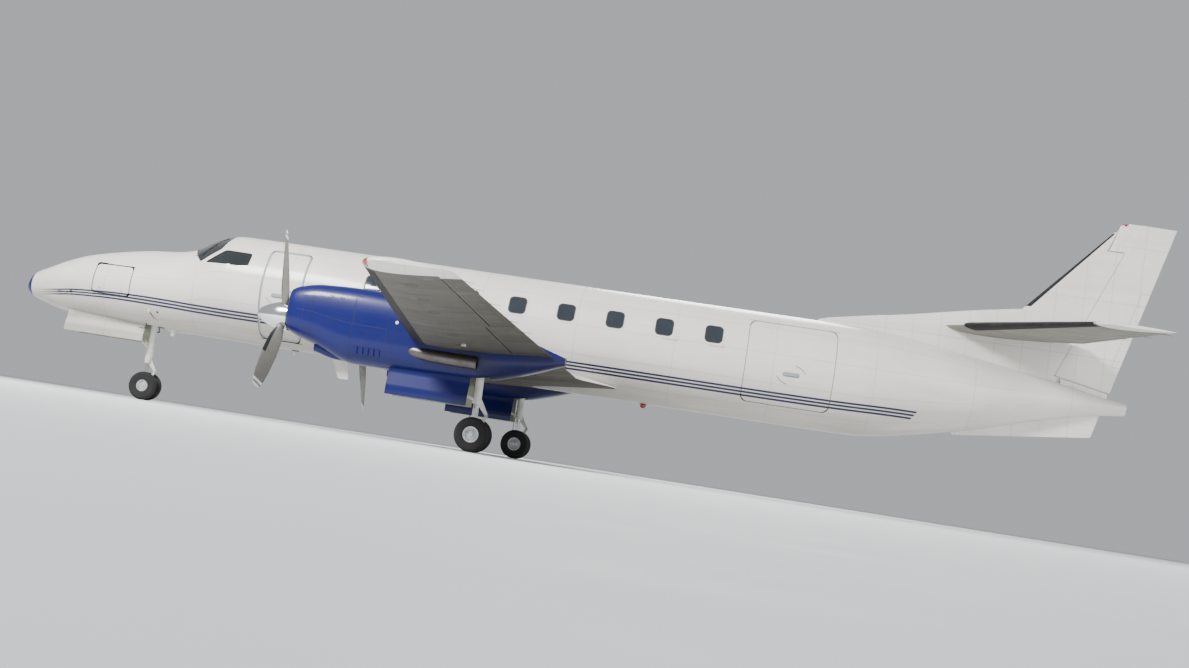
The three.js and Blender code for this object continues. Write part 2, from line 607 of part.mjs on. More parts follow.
const PANEL = { x0: 3030, x1: 3130, z0: -150, z1: 230 };
const instrumentPanel = join([
  box(PANEL.x0, PANEL.x1, -620, 620, PANEL.z0, PANEL.z1),
  box(PANEL.x0 - 120, PANEL.x1 + 60, -560, 560, PANEL.z1 - 30, PANEL.z1 + 10),
  box(PANEL.x0, 3420, -90, 90, FLOOR_Z + GAP, -120),
]).intersect(interior(2780, 4000));
addNode("instrument_panel", instrumentPanel, "boot_rubber");

const PILOT_SEAT = { x: 3560, y: -370, width: 430 };
const pilotSeat = () => {
  const { x, y, width } = PILOT_SEAT;
  const half = width / 2;
  const cushion = box(x - 230, x + 230, y - half, y + half, -290, -180);
  const back = sidePrism([[x + 150, -250], [x + 260, -250], [x + 380, 330], [x + 280, 340]],
    y - half, y + half);
  const head = box(x + 270, x + 365, y - 120, y + 120, 300, 480);
  const frame = box(x - 150, x + 180, y - 45, y + 45, FLOOR_Z + GAP, -280);
  return join([cushion, back, head, frame]);
};
addPair("pilot_seat", pilotSeat(), "seat_cover");

// Doors. Their hinged corners are thinner inside, so that they pass the hole's round corners.
const RELIEF = { depth: 10, reach: 130, height: 230 };
const cornerRelief = ({ x0, x1 }, z0, z1) => bodySolid(x0 - 10, x1 + 10, -RELIEF.depth).intersect(join([
  box(x0 - 10, x0 + RELIEF.reach, -1000, 0, z0, z1), box(x1 - RELIEF.reach, x1 + 10, -1000, 0, z0, z1),
]));
const STEP = { count: 4, depth: 210, thick: 25, width: 460 };
function airstairDoor() {
  const relief = cornerRelief(AIRSTAIR, AIRSTAIR.z0 - 10, AIRSTAIR.z0 + RELIEF.height);
  const panel = cut(doorPanel(AIRSTAIR, 4100, 4900), relief);
  const mid = (AIRSTAIR.x0 + AIRSTAIR.x1) / 2;
  const steps = Array.from({ length: STEP.count }, (_, i) => {
    const z = AIRSTAIR.z0 + 250 + i * 280;
    const skinY = -Math.sqrt((CABIN_RADIUS - DOOR_THICK) ** 2 - z ** 2);
    return box(mid - STEP.width / 2, mid + STEP.width / 2, skinY - 30, skinY + STEP.depth,
      z, z + STEP.thick);
  });
  return join([airstairHinge.onDoor(panel), ...steps]);
}
addNode("passenger_door", airstairDoor(), "white_paint");
const cargoRelief = cornerRelief(CARGO, CARGO.z1 - RELIEF.height, CARGO.z1 + 10);
const cargoPanel = cut(doorPanel(CARGO, 11700, 13159), cargoRelief);
addNode("cargo_door", cargoHinge.onDoor(cargoPanel), "white_paint");
const noseDoorPanel = cut(bodySolid(1200, 2100, 0), bodySolid(1199, 2101, -NOSE_DOOR_THICK))
  .intersect(doorHole(NOSE_DOOR, 0, -1000, 0));
addPair("nose_door", noseDoorHinge.onDoor(noseDoorPanel), "white_paint");

// Wings, cut round the fuselage and for their moving surfaces
const beltFuselage = bodySolid(5000, 11000, GAP);
const wingHinge = (hinge) => (y) => {
  const chord = wingTE(y) - wingLE(y);
  return [wingLE(y) + hinge * chord, -y, wingZ(y) + camberAt(hinge, WING_CAMBER) * chord];
};
const WING_JACK = { x: 7900, y: 3100, below: 140 };
const wingSolid = () => join([
  cut(wingBlank(0), beltFuselage, ...WING_SURFACES.map(([, y0, y1, hinge]) => wingCove(y0, y1, hinge))),
  ...WING_SURFACES.map(([, y0, y1, hinge]) => hingePins(wingHinge(hinge), y0, y1, 0)),
  jackPad(WING_JACK.x, -WING_JACK.y, wingZ(WING_JACK.y) - WING_JACK.below, wingZ(WING_JACK.y)),
]);
addPair("wing", wingSolid(), "grey_paint");
for (const [name, y0, y1, hinge] of WING_SURFACES) {
  const room = hingePins(wingHinge(hinge), y0, y1, PIN_ROOM);
  addPair(name, cut(wingSurface(y0, y1, hinge), room), "grey_paint");
}

// Nacelles, with the intake above the spinner and the wheel well below
const mainWell = box(MAIN_WELL.x0, MAIN_WELL.x1, -THRUST_Y - MAIN_WELL.half,
  -THRUST_Y + MAIN_WELL.half, -1200, MAIN_WELL.top);
const engineBlock = box(ENGINE.x0, ENGINE.x1, -THRUST_Y - ENGINE.half, -THRUST_Y + ENGINE.half,
  ENGINE.z0, ENGINE.z1);
const thrustRod = (radius, from, to, sides) => rod(
  [from, -THRUST_Y, THRUST_Z], [to, -THRUST_Y, THRUST_Z], radius, radius, sides);

const nacelleRoom = loft(
  NACELLE_SECTIONS.slice(2, 6).map((row) => nacelleRing(row, NACELLE_SKIN + GAP)),
);

function nacelleSolid() {
  const outer = loft(NACELLE_SECTIONS.map((row) => nacelleRing(row, 0)));
  const innerRows = NACELLE_SECTIONS.slice(2, 6);
  const inner = loft([
    nacelleRing([5420, -40, -780, 340], NACELLE_SKIN + 10),
    ...innerRows.map((row) => nacelleRing(row, NACELLE_SKIN)),
  ]);
  const scoop = loft([
    [SCOOP.x0, SCOOP.low, 1], [SCOOP.x0 + 350, SCOOP.low - 70, 1], [SCOOP.x1, -1010, 0.6],
  ].map(([x, low, share]) => [
    [-1, -800], [-1, low + 40], [-0.8, low], [0.8, low], [1, low + 40], [1, -800],
  ].map(([side, z]) => vec(x, -THRUST_Y + side * share * SCOOP.half, z))));
  const intakeOutline = [[5150, INTAKE.z0], [5150, INTAKE.z1],
    [5205 + INTAKE.depth, INTAKE.z1 - 20], [5205 + INTAKE.depth, INTAKE.z0 - 20]];
  const intake = sidePrism(intakeOutline, -THRUST_Y - INTAKE.half, -THRUST_Y + INTAKE.half);
  const scoopMouth = box(SCOOP.x0 - 40, SCOOP.x0 + 160, -THRUST_Y - 120, -THRUST_Y + 120,
    SCOOP.low + 18, -872);
  const shell = cut(outer, inner);
  return cut(join([shell, cut(scoop, inner)]), mainWell, intake, scoopMouth,
    thrustRod(90, 5100, 5500, 8), wingBlank(GAP), ductAlong(EXHAUST_RADIUS + GAP));
}
addPair("nacelle", nacelleSolid(), "blue_paint");

function engineSolid() {
  const duct = cut(ductAlong(EXHAUST_RADIUS),
    rod([7800, -2675, -789], [8100, -2693, -791], EXHAUST_RADIUS - 12, EXHAUST_RADIUS - 12, 10));
  const mountArms = [5900, 6300].map((x) => rod(
    [x, -THRUST_Y - 400, -420], [x, -THRUST_Y + 400, -420], 26));
  const shaft = thrustRod(60, HUB.x1 + GAP, ENGINE.x0 + 100, 8);
  return join([join([engineBlock, ...mountArms]).intersect(nacelleRoom), shaft, duct]);
}
addPair("engine", engineSolid(), "cast_metal");

// Propellers: three twisted blades on a hub, and the spinner round it
const BLADES = 3;
const SPINNER_PROFILE = [
  [0, -414], [48, -392], [108, -318], [160, -210], [196, -90], [207, 20], [205, 82], [0, 82],
];
const SHANK_RADIUS = 52;
// Blade sections [radius, chord, thickness, twist from the plane of rotation in degrees]
const BLADE_SECTIONS = [
  [240, 130, 80, 62], [420, 205, 44, 52], [760, 245, 26, 40], [1150, 200, 14, 31],
  [PROP_RADIUS, 110, 7, 29],
];
const BLADE_SHAPE = [[0.5, 0], [0.3, 0.46], [-0.05, 0.5], [-0.5, 0.05], [-0.5, -0.05],
  [-0.05, -0.3], [0.3, -0.3]];

function bladeSolid(angleDeg) {
  const spin = new THREE.Matrix4().makeRotationX(THREE.MathUtils.degToRad(angleDeg));
  const centre = vec(PROP_X, -THRUST_Y, THRUST_Z);
  const rings = BLADE_SECTIONS.map(([radius, chord, thick, twist]) => {
    const a = THREE.MathUtils.degToRad(twist);
    return BLADE_SHAPE.map(([u, v]) => {
      const across = u * chord * Math.cos(a) - v * thick * Math.sin(a);
      const along = -(u * chord * Math.sin(a) + v * thick * Math.cos(a));
      return new THREE.Vector3(along, across, radius).applyMatrix4(spin).add(centre);
    });
  });
  const shank = new THREE.CylinderGeometry(SHANK_RADIUS, SHANK_RADIUS, 190, 10);
  shank.rotateX(Math.PI / 2).translate(0, 0, 165).applyMatrix4(spin).translate(...centre.toArray());
  return join([loft(rings), solidOf(shank)]);
}
const PROP_PHASE = 26; // the near blade's lean in the photograph
const bladeAngles = Array.from({ length: BLADES }, (_, i) => PROP_PHASE + (360 / BLADES) * i);
const propellerSolid = () => join([
  thrustRod(HUB.radius, HUB.x0, HUB.x1, 16), ...bladeAngles.map((angle) => bladeSolid(angle)),
]);
const shankRoom = (angle) => {
  const geometry = new THREE.CylinderGeometry(SHANK_RADIUS + 6, SHANK_RADIUS + 6, 300, 10);
  geometry.rotateX(Math.PI / 2).translate(0, 0, 150);
  geometry.rotateX(THREE.MathUtils.degToRad(angle));
  return solidOf(geometry.translate(...vec(PROP_X, -THRUST_Y, THRUST_Z).toArray()));
};
const spinnerSolid = () => cut(
  turned(SPINNER_PROFILE, [PROP_X, -THRUST_Y, THRUST_Z], "x", 20),
  thrustRod(HUB.radius + GAP, HUB.x0 - GAP, 5300, 16), ...bladeAngles.map(shankRoom),
);
addPair("propeller", propellerSolid(), "blade_metal");
addPair("spinner", spinnerSolid(), "polished_metal");

// Fin, rudder, tailplane and elevators
function finBlank(offset) {
  const main = loft([420, 1500, HORN.z - 30, FIN_TOP - 40, FIN_TOP].map((z) => {
    const crown = z === FIN_TOP ? 170 : 0;
    const half = finHalf(z) * (z === FIN_TOP ? 0.5 : 1);
    return finRing(finLE(z) + crown + (z > 2900 ? 40 : 0), hingeXAt(z) + offset, half, z);
  }));
  const dorsalRings = [[420, 12700], [880, 12820], [1150, 14120], [1380, 15200], [1500, 15850]]
    .map(([z, le]) => finRing(le, 16300, 50, z));
  return join([main, loft(dorsalRings)]);
}

const rudderLow = (x) => 545 - 0.178 * (x - 16500);
function rudderRing(z, half, grow) {
  const hingeX = hingeXAt(z);
  const radius = half + grow;
  const arc = NOSE_ARC.map((deg) => {
    const a = THREE.MathUtils.degToRad(deg);
    return vec(hingeX + radius * Math.cos(a), radius * Math.sin(a), z);
  });
  const te = grow ? rudderTE(z) + 80 : rudderTE(z);
  const edge = grow ? radius : 5;
  return [...arc, vec(te, -edge, z), vec(te, edge, z)];
}
const rudderBelow = (lift) => sidePrism([[16000, rudderLow(16000) + lift], [18500, rudderLow(18500) + lift],
  [18500, -200], [16000, -200]], -300, 300);
function rudderSolid(grow) {
  const lift = grow ? -20 : 0;
  const main = loft([300, FIN_TOP].map((z) => rudderRing(z, finHalf(z), grow)));
  const topHalf = grow ? 1 : 0.75;
  const hornEnds = [[HORN.z - grow, HORN.frontLow], [FIN_TOP + grow * 4, HORN.frontTop]];
  const horn = loft(hornEnds.map(([z, front], i) => {
    const half = finHalf(z) * (i ? topHalf : 1) + grow;
    return [[front - grow, 6 + grow], [front + 120, half], [hingeXAt(z) + 60, half],
      [hingeXAt(z) + 60, -half], [front + 120, -half], [front - grow, -6 - grow]]
      .map(([x, y]) => vec(x, y, z));
  }));
  return cut(join([main, horn]), rudderBelow(lift), rudderPin(RUDDER_PIN_RADIUS + PIN_ROOM, 300, 640));
}
// Room for the horn, right through the fin, so that it can swing out to either side
const hornSlope = (HORN.frontTop - HORN.frontLow) / (FIN_TOP - HORN.z);
const hornFront = (z) => HORN.frontLow + (z - HORN.z) * hornSlope - HINGE_GAP;
const hornRoom = sidePrism([
  [hornFront(HORN.z - END_GAP), HORN.z - END_GAP], [18000, HORN.z - END_GAP],
  [18000, FIN_TOP + 40], [hornFront(FIN_TOP + 40), FIN_TOP + 40],
], -200, 200);
const finRoot = bodySolid(12700, BODY_END, GAP);
const fin = cut(finBlank(40), rudderSolid(HINGE_GAP), hornRoom, finRoot, tailBlank(GAP),
  rudderPin(RUDDER_PIN_RADIUS + 10 * GAP, 290, 660));
addNode("fin", fin, "white_paint");
addNode("rudder", rudderSolid(0), "white_paint");

const elevatorPort = loft([ELEVATOR.y0, ELEVATOR.y1].map((y) => elevatorRing(y, hingedRing)));
const elevatorCove = loft([ELEVATOR.y0 - END_GAP, ELEVATOR.y1 + END_GAP]
  .map((y) => elevatorRing(y, coveRing, HINGE_GAP)));
const tailCentre = box(TAIL_CENTRE_END, 17200, -160, 160, TAIL_Z - 200, TAIL_Z + 200);
const elevatorHinge = (y) => [mix(tailLE(y), tailTE(y), ELEVATOR_HINGE), -y, TAIL_Z];
const elevatorPins = (grow) => hingePins(elevatorHinge, ELEVATOR.y0, ELEVATOR.y1, grow);
const tailplane = cut(tailBlank(0), elevatorCove, mirrorY(elevatorCove), tailCentre);
addNode("tailplane", join([tailplane, elevatorPins(0), mirrorY(elevatorPins(0))]), "white_paint");
addPair("elevator", cut(elevatorPort, elevatorPins(PIN_ROOM)), "white_paint");

// Main gear: leg, brace and torque links; twin wheels on one axle
function mainLeg() {
  const y = -THRUST_Y;
  const top = [MAIN_AXLE_X - 40, y, -640];
  const wallReach = MAIN_WELL.half - GAP;
  const braceTube = rod([6990, y - 400, -900], [6990, y + 400, -900], 26).intersect(nacelleRoom);
  const axleBoss = rod([MAIN_AXLE_X, y - 52, mainWheelZ], [MAIN_AXLE_X, y + 52, mainWheelZ], 52, 52, 16);
  return join([
    rod(top, [MAIN_AXLE_X - 20, y, -1330], 66),
    rod([MAIN_AXLE_X - 22, y, -1300], [MAIN_AXLE_X, y, mainWheelZ], 44),
    rod([MAIN_AXLE_X - 36, y - wallReach, -780], [MAIN_AXLE_X - 36, y + wallReach, -780], 34),
    braceTube,
    rod([6990, y - 100, -900], [MAIN_AXLE_X - 60, y - 30, -1280], 26),
    rod([6990, y + 100, -900], [MAIN_AXLE_X - 60, y + 30, -1280], 26),
    rod([MAIN_AXLE_X + 10, y, -1300], [MAIN_AXLE_X + 150, y, -1480], 22),
    rod([MAIN_AXLE_X + 150, y, -1480], [MAIN_AXLE_X + 10, y, mainWheelZ + 60], 22),
    axleBoss,
  ]);
}
const mainCentre = [MAIN_AXLE_X, -THRUST_Y, mainWheelZ];
const mainAxleRoom = axle(MAIN_TYRE, mainCentre, 400, AXLE_ROOM);
addPair("main_leg", cut(mainLeg(), wingBlank(GAP), mainAxleRoom), "gear_paint");
addPair("main_hubs", hubSolid(MAIN_TYRE, mainCentre), "wheel_metal");
for (const [place, side] of [["outer", -1], ["inner", 1]]) {
  const centre = [MAIN_AXLE_X, -THRUST_Y + (side * MAIN_TYRE.spacing) / 2, mainWheelZ];
  addPair(`main_tyre_${place}`, tyreSolid(MAIN_TYRE, centre), "tyre");
}

// Nose gear: fixed outer leg, and the part that steers with its twin wheels
const noseWellLegTop = NOSE_WELL.top - GAP;
const noseLeg = () => join([
  rod([NOSE_STEER_X, 0, noseWellLegTop], [NOSE_STEER_X, 0, -1240], 56, 56, 16),
  rod([NOSE_STEER_X, -NOSE_WELL.half + GAP, -700], [NOSE_STEER_X, NOSE_WELL.half - GAP, -700], 30),
  rod([1500, -60, noseWellLegTop], [NOSE_STEER_X - 20, -20, -1200], 22),
  rod([1500, 60, noseWellLegTop], [NOSE_STEER_X - 20, 20, -1200], 22),
]).intersect(box(1300, 2460, -400, 400, -1400, noseWellLegTop));
const noseCentre = [NOSE_AXLE_X, 0, noseWheelZ];
const noseFork = () => cut(join([
  rod([NOSE_STEER_X, 0, -1240 - GAP], [NOSE_STEER_X, 0, -1420], 62, 62, 16),
  rod([NOSE_STEER_X, 0, -1400], [NOSE_STEER_X, 0, noseWheelZ + 30], 36, 36, 16),
  rod([NOSE_STEER_X, 0, noseWheelZ + 60], [NOSE_AXLE_X, 0, noseWheelZ], 34),
  rod([NOSE_AXLE_X, -34, noseWheelZ], [NOSE_AXLE_X, 34, noseWheelZ], 42, 42, 16),
  rod([NOSE_STEER_X + 20, 0, -1390], [NOSE_STEER_X + 150, 0, -1540], 18),
  rod([NOSE_STEER_X + 150, 0, -1540], [NOSE_STEER_X + 10, 0, noseWheelZ + 60], 18),
]), axle(NOSE_TYRE, noseCentre, 300, AXLE_ROOM));
addNode("nose_leg", noseLeg(), "gear_paint");
addNode("nose_fork", noseFork(), "gear_paint");
addNode("nose_hubs", hubSolid(NOSE_TYRE, noseCentre), "wheel_metal");
addPair("nose_tyre", tyreSolid(NOSE_TYRE, [NOSE_AXLE_X, -NOSE_TYRE.spacing / 2, noseWheelZ]), "tyre");

// Gear doors, fixed open with the legs down: an upright root in the well, and a panel that leans out
const GEAR_DOOR_THICK = 14;
function hangingDoor({ x0, x1, top, root, drop, lean }, y) {
  const outline = [[0, 0], [GEAR_DOOR_THICK, 0], [GEAR_DOOR_THICK, -root],
    [GEAR_DOOR_THICK - lean, -drop * 0.7], [GEAR_DOOR_THICK - lean, -drop], [-lean, -drop],
    [-lean, -drop * 0.7], [0, -root]];
  return loft([x0, x1].map((x) => outline.map(([dy, dz]) => vec(x, y + dy, top + dz))));
}
const NOSE_GEAR_DOOR = { x0: 860, x1: 2180, top: -690, root: 170, drop: 400, lean: 45 };
addPair("nose_gear_door", hangingDoor(NOSE_GEAR_DOOR, -NOSE_WELL.half + GAP), "white_paint");
const MAIN_GEAR_DOOR = { x0: 6790, x1: 7960, top: -960, root: 110, drop: 430, lean: 50 };
const wellSide = MAIN_WELL.half - GAP;
addPair("main_gear_door_outer", hangingDoor(MAIN_GEAR_DOOR, -THRUST_Y - wellSide), "blue_paint");
addPair("main_gear_door_inner",
  mirrorY(hangingDoor(MAIN_GEAR_DOOR, -wellSide)).translate([0, -THRUST_Y, 0]), "blue_paint");

export default group;
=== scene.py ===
"""Looks of a nineteen-seat turboprop airliner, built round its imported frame. Metres."""

import math

import bmesh
import bpy
import numpy as np
from mathutils import Matrix, Quaternion, Vector


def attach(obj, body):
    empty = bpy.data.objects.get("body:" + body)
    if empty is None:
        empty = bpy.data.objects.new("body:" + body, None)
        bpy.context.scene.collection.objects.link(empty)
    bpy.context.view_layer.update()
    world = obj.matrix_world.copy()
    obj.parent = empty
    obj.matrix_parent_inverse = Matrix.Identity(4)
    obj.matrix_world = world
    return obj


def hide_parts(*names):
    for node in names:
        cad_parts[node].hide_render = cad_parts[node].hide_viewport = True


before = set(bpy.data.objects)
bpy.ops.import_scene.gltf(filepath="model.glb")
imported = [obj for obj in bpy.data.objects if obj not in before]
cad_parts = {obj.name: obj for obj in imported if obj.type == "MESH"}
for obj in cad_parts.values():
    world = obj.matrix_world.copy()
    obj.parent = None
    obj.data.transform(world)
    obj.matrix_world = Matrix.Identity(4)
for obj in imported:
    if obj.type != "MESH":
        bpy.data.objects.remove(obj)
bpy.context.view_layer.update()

# Stations run aft from the nose tip; heights are from the cabin's axis.
LENGTH = 18.09
AXIS_HEIGHT = 2.02
TO_STATIONS = (LENGTH / 2, 0, -AXIS_HEIGHT)
SIDES = (("port", -1), ("starboard", 1))
AFT, ACROSS, UP, DOWN = (1, 0, 0), (0, 1, 0), (0, 0, 1), (0, 0, -1)
CLEAR = .0003  # room between two pieces that share a surface
LINE = .0018  # radius of a drawn line
vec = np.array


def at(station, y, z):
    """Points of the shared frame from stations, spans and heights."""
    station, y, z = np.broadcast_arrays(np.asarray(station, float), y, z)
    return np.stack([station - LENGTH / 2, y, z + AXIS_HEIGHT], -1)


def eased(table):
    """A smooth curve through rows of (x, values...) that never overshoots them."""
    rows = np.array(table, float)
    x, y = rows[:, 0], rows[:, 1:]
    slope = np.diff(y, axis=0) / np.diff(x)[:, None]
    tangent = np.zeros_like(y)
    tangent[0], tangent[-1] = slope[0], slope[-1]
    left, right = slope[:-1], slope[1:]
    total = np.where(left * right > 0, left + right, 1.0)
    tangent[1:-1] = np.where(left * right > 0, 2 * left * right / total, 0.0)

    def value(where):
        where = np.clip(np.atleast_1d(np.asarray(where, float)), x[0], x[-1])
        i = np.clip(np.searchsorted(x, where) - 1, 0, len(x) - 2)
        h = (x[i + 1] - x[i])[:, None]
        t = (where - x[i])[:, None] / h
        return ((1 + 2 * t) * (1 - t) ** 2 * y[i] + t * (1 - t) ** 2 * h * tangent[i]
                + t * t * (3 - 2 * t) * y[i + 1] + t * t * (t - 1) * h * tangent[i + 1])
    return value


# Shapes: each is (points, faces), and several make one piece.

def over_rings(rings, caps=True):
    """A skin over rings of equal point counts."""
    rings = np.asarray(rings, float)
    rows, count, _ = rings.shape
    a = np.arange(rows - 1)[:, None] * count + np.arange(count)[None]
    b = np.arange(rows - 1)[:, None] * count + (np.arange(count)[None] + 1) % count
    faces = np.stack([a, b, b + count, a + count], -1).reshape(-1, 4).tolist()
    if caps:
        faces.append(list(range(count))[::-1])
        faces.append([(rows - 1) * count + i for i in range(count)])
    return rings.reshape(-1, 3), faces


def prism(outline, origin, across, up, out, low, high):
    """An outline in the plane (across, up), drawn out from low to high."""
    flat, out = np.asarray(outline, float), np.asarray(out)
    base = (np.asarray(origin, float) + flat[:, :1] * np.asarray(across)
            + flat[:, 1:] * np.asarray(up))
    return over_rings([base + out * low, base + out * high])


def side_prism(outline, y0, y1):
    """An outline of (station, height), drawn across from y0 to y1."""
    return prism(outline, at(0, 0, 0), AFT, UP, ACROSS, y0, y1)


def block(x0, x1, y0, y1, z0, z1, round_by=0.0):
    return side_prism(rounded(x0, x1, z0, z1, round_by), y0, y1)


def rounded(x0, x1, z0, z1, radius, steps=6):
    """A rectangle with round corners."""
    if radius <= 0:
        return [(x1, z1), (x0, z1), (x0, z0), (x1, z0)]
    out = []
    for cx, cz, start in ((x1 - radius, z1 - radius, 0), (x0 + radius, z1 - radius, 90),
                          (x0 + radius, z0 + radius, 180), (x1 - radius, z0 + radius, 270)):
        for a in np.radians(np.linspace(start, start + 90, steps)):
            out.append((cx + radius * math.cos(a), cz + radius * math.sin(a)))
    return out


def softened(outline, radius, steps=5):
    """An outline with its corners rounded."""
    pts = [np.array(p, float) for p in outline]
    out = []
    for i, p in enumerate(pts):
        before, after = pts[i - 1] - p, pts[(i + 1) % len(pts)] - p
        reach = min(radius, 0.45 * np.linalg.norm(before), 0.45 * np.linalg.norm(after))
        a = p + before / np.linalg.norm(before) * reach
        b = p + after / np.linalg.norm(after) * reach
        for t in np.linspace(0, 1, steps):
            out.append(tuple((1 - t) ** 2 * a + 2 * t * (1 - t) * p + t * t * b))
    return out


def scaled_out(outline, by):
    """An outline moved outwards by a distance, about."""
    pts = np.asarray(outline, float)
    along = np.roll(pts, -1, 0) - np.roll(pts, 1, 0)
    normal = np.stack([along[:, 1], -along[:, 0]], 1)
    normal /= np.linalg.norm(normal, axis=1)[:, None]
    area = np.sum(pts[:, 0] * np.roll(pts[:, 1], -1) - np.roll(pts[:, 0], -1) * pts[:, 1])
    return (pts + normal * by * (1 if area > 0 else -1)).tolist()


def turned(profile, centre, axis, steps=48):
    """A profile of (radius, offset along the axis) turned about it."""
    axis = np.asarray(axis, float) / np.linalg.norm(axis)
    u = np.cross(axis, UP if abs(axis[2]) < 0.9 else AFT)
    u /= np.linalg.norm(u)
    v = np.cross(axis, u)
    a = np.linspace(0, 2 * math.pi, steps, endpoint=False)[:, None]
    ring = np.cos(a) * u + np.sin(a) * v
    rings = [np.asarray(centre) + axis * off + ring * max(r, 1e-6) for r, off in profile]
    return over_rings(rings, caps=profile[0] != profile[-1])


def rod(radius, low, high, centre, axis, steps=48):
    return turned([(radius, low), (radius, high)], centre, axis, steps)


def mirrored(shape):
    points, faces = shape
    return points * (1, -1, 1), [list(reversed(f)) for f in faces]


def sided(shape, side):
    """A shape of the port side, or its mirror image for the starboard side."""
    return mirrored(shape) if side > 0 else shape


def together(*shapes):
    """Separate shapes as one."""
    points, faces, start = [], [], 0
    for p, f in shapes:
        points.append(np.asarray(p))
        faces.extend([[i + start for i in face] for face in f])
        start += len(p)
    return np.concatenate(points), faces


def made(name, *shapes, materials=()):
    """One piece from shapes, with its faces turned outwards."""
    points, faces = together(*shapes)
    mesh = bpy.data.meshes.new(name)
    mesh.from_pydata(points.tolist(), [], faces)
    bm = bmesh.new()
    bm.from_mesh(mesh)
    bmesh.ops.remove_doubles(bm, verts=bm.verts, dist=1e-5)
    bmesh.ops.dissolve_degenerate(bm, edges=bm.edges, dist=1e-6)
    bmesh.ops.recalc_face_normals(bm, faces=bm.faces)
    bm.to_mesh(mesh)
    bm.free()
    piece = bpy.data.objects.new(name, mesh)
    bpy.context.scene.collection.objects.link(piece)
    for material in materials:
        mesh.materials.append(material)
    return piece


def settle(piece):
    """Turns what the modifiers make into the piece's own mesh."""
    graph = bpy.context.evaluated_depsgraph_get()
    graph.update()
    mesh = bpy.data.meshes.new_from_object(piece.evaluated_get(graph), depsgraph=graph)
    piece.modifiers.clear()
    old, piece.data = piece.data, mesh
    mesh.name = piece.name
    bpy.data.meshes.remove(old)
    return piece


def carve(piece, *shapes, how="DIFFERENCE"):
    """Cuts shapes out of a piece (or joins them on, or keeps what they share)."""
    for shape in shapes:
        tool = made("tool", shape) if isinstance(shape, tuple) else shape
        cut = piece.modifiers.new("cut", "BOOLEAN")
        cut.operation, cut.solver, cut.object = how, "MANIFOLD", tool
        settle(piece)
        if isinstance(shape, tuple):
            bpy.data.objects.remove(tool)
    return piece


def drop(*pieces):
    for piece in pieces:
        bpy.data.objects.remove(piece)


def read(items, name):
    """Three numbers of each vertex or face of a mesh."""
    values = np.empty(len(items) * 3)
    items.foreach_get(name, values)
    return values.reshape(-1, 3)


def choose(piece, pick):
    """Gives each face a material slot: pick(station, y, z, normals) returns their numbers."""
    faces = piece.data.polygons
    centres, normals = read(faces, "center") + TO_STATIONS, read(faces, "normal")
    faces.foreach_set("material_index", np.asarray(pick(*centres.T, normals), np.int32))
    return piece


def lay_map(piece, plan):
    """A UV map from plan(station, y, z) -> (u, v), so that panels follow the skin."""
    mesh = piece.data
    uv = np.stack(plan(*(read(mesh.vertices, "co") + TO_STATIONS).T), -1)
    index = np.empty(len(mesh.loops), np.int32)
    mesh.loops.foreach_get("vertex_index", index)
    layer = mesh.uv_layers.get("skin") or mesh.uv_layers.new(name="skin")
    layer.data.foreach_set("uv", uv[index].ravel())
    return piece


def fit(piece, replaces=(), body="airframe", angle=32):
    """Smooths a finished piece up to an angle and sets it on its body."""
    mesh = piece.data
    mesh.polygons.foreach_set("use_smooth", [True] * len(mesh.polygons))
    mesh.set_sharp_from_angle(angle=math.radians(angle))
    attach(piece, body)
    if replaces:
        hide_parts(*replaces)
    return piece


def add(name, shape, material, replaces=(), body="airframe", angle=32, plan=None):
    """A piece of one shape and one material, set on its body."""
    piece = made(name, shape, materials=[material])
    if plan:
        lay_map(piece, plan)
    return fit(piece, replaces, body, angle)


# Materials

def new_node(tree, kind, inputs=None, **settings):
    """A node with its settings, whose inputs are linked or given a value."""
    made_node = tree.nodes.new(kind)
    for key, value in settings.items():
        setattr(made_node, key, value)
    for key, value in (inputs or {}).items():
        if isinstance(value, bpy.types.NodeSocket):
            tree.links.new(value, made_node.inputs[key])
        else:
            made_node.inputs[key].default_value = value
    return made_node


def frame_x(station):
    return station - LENGTH / 2


def shaded(colour, share):
    return [c * share for c in colour]


RIVET_PITCH, RIVET_RADIUS, FROM_JOINT = 0.032, 0.0042, 0.014


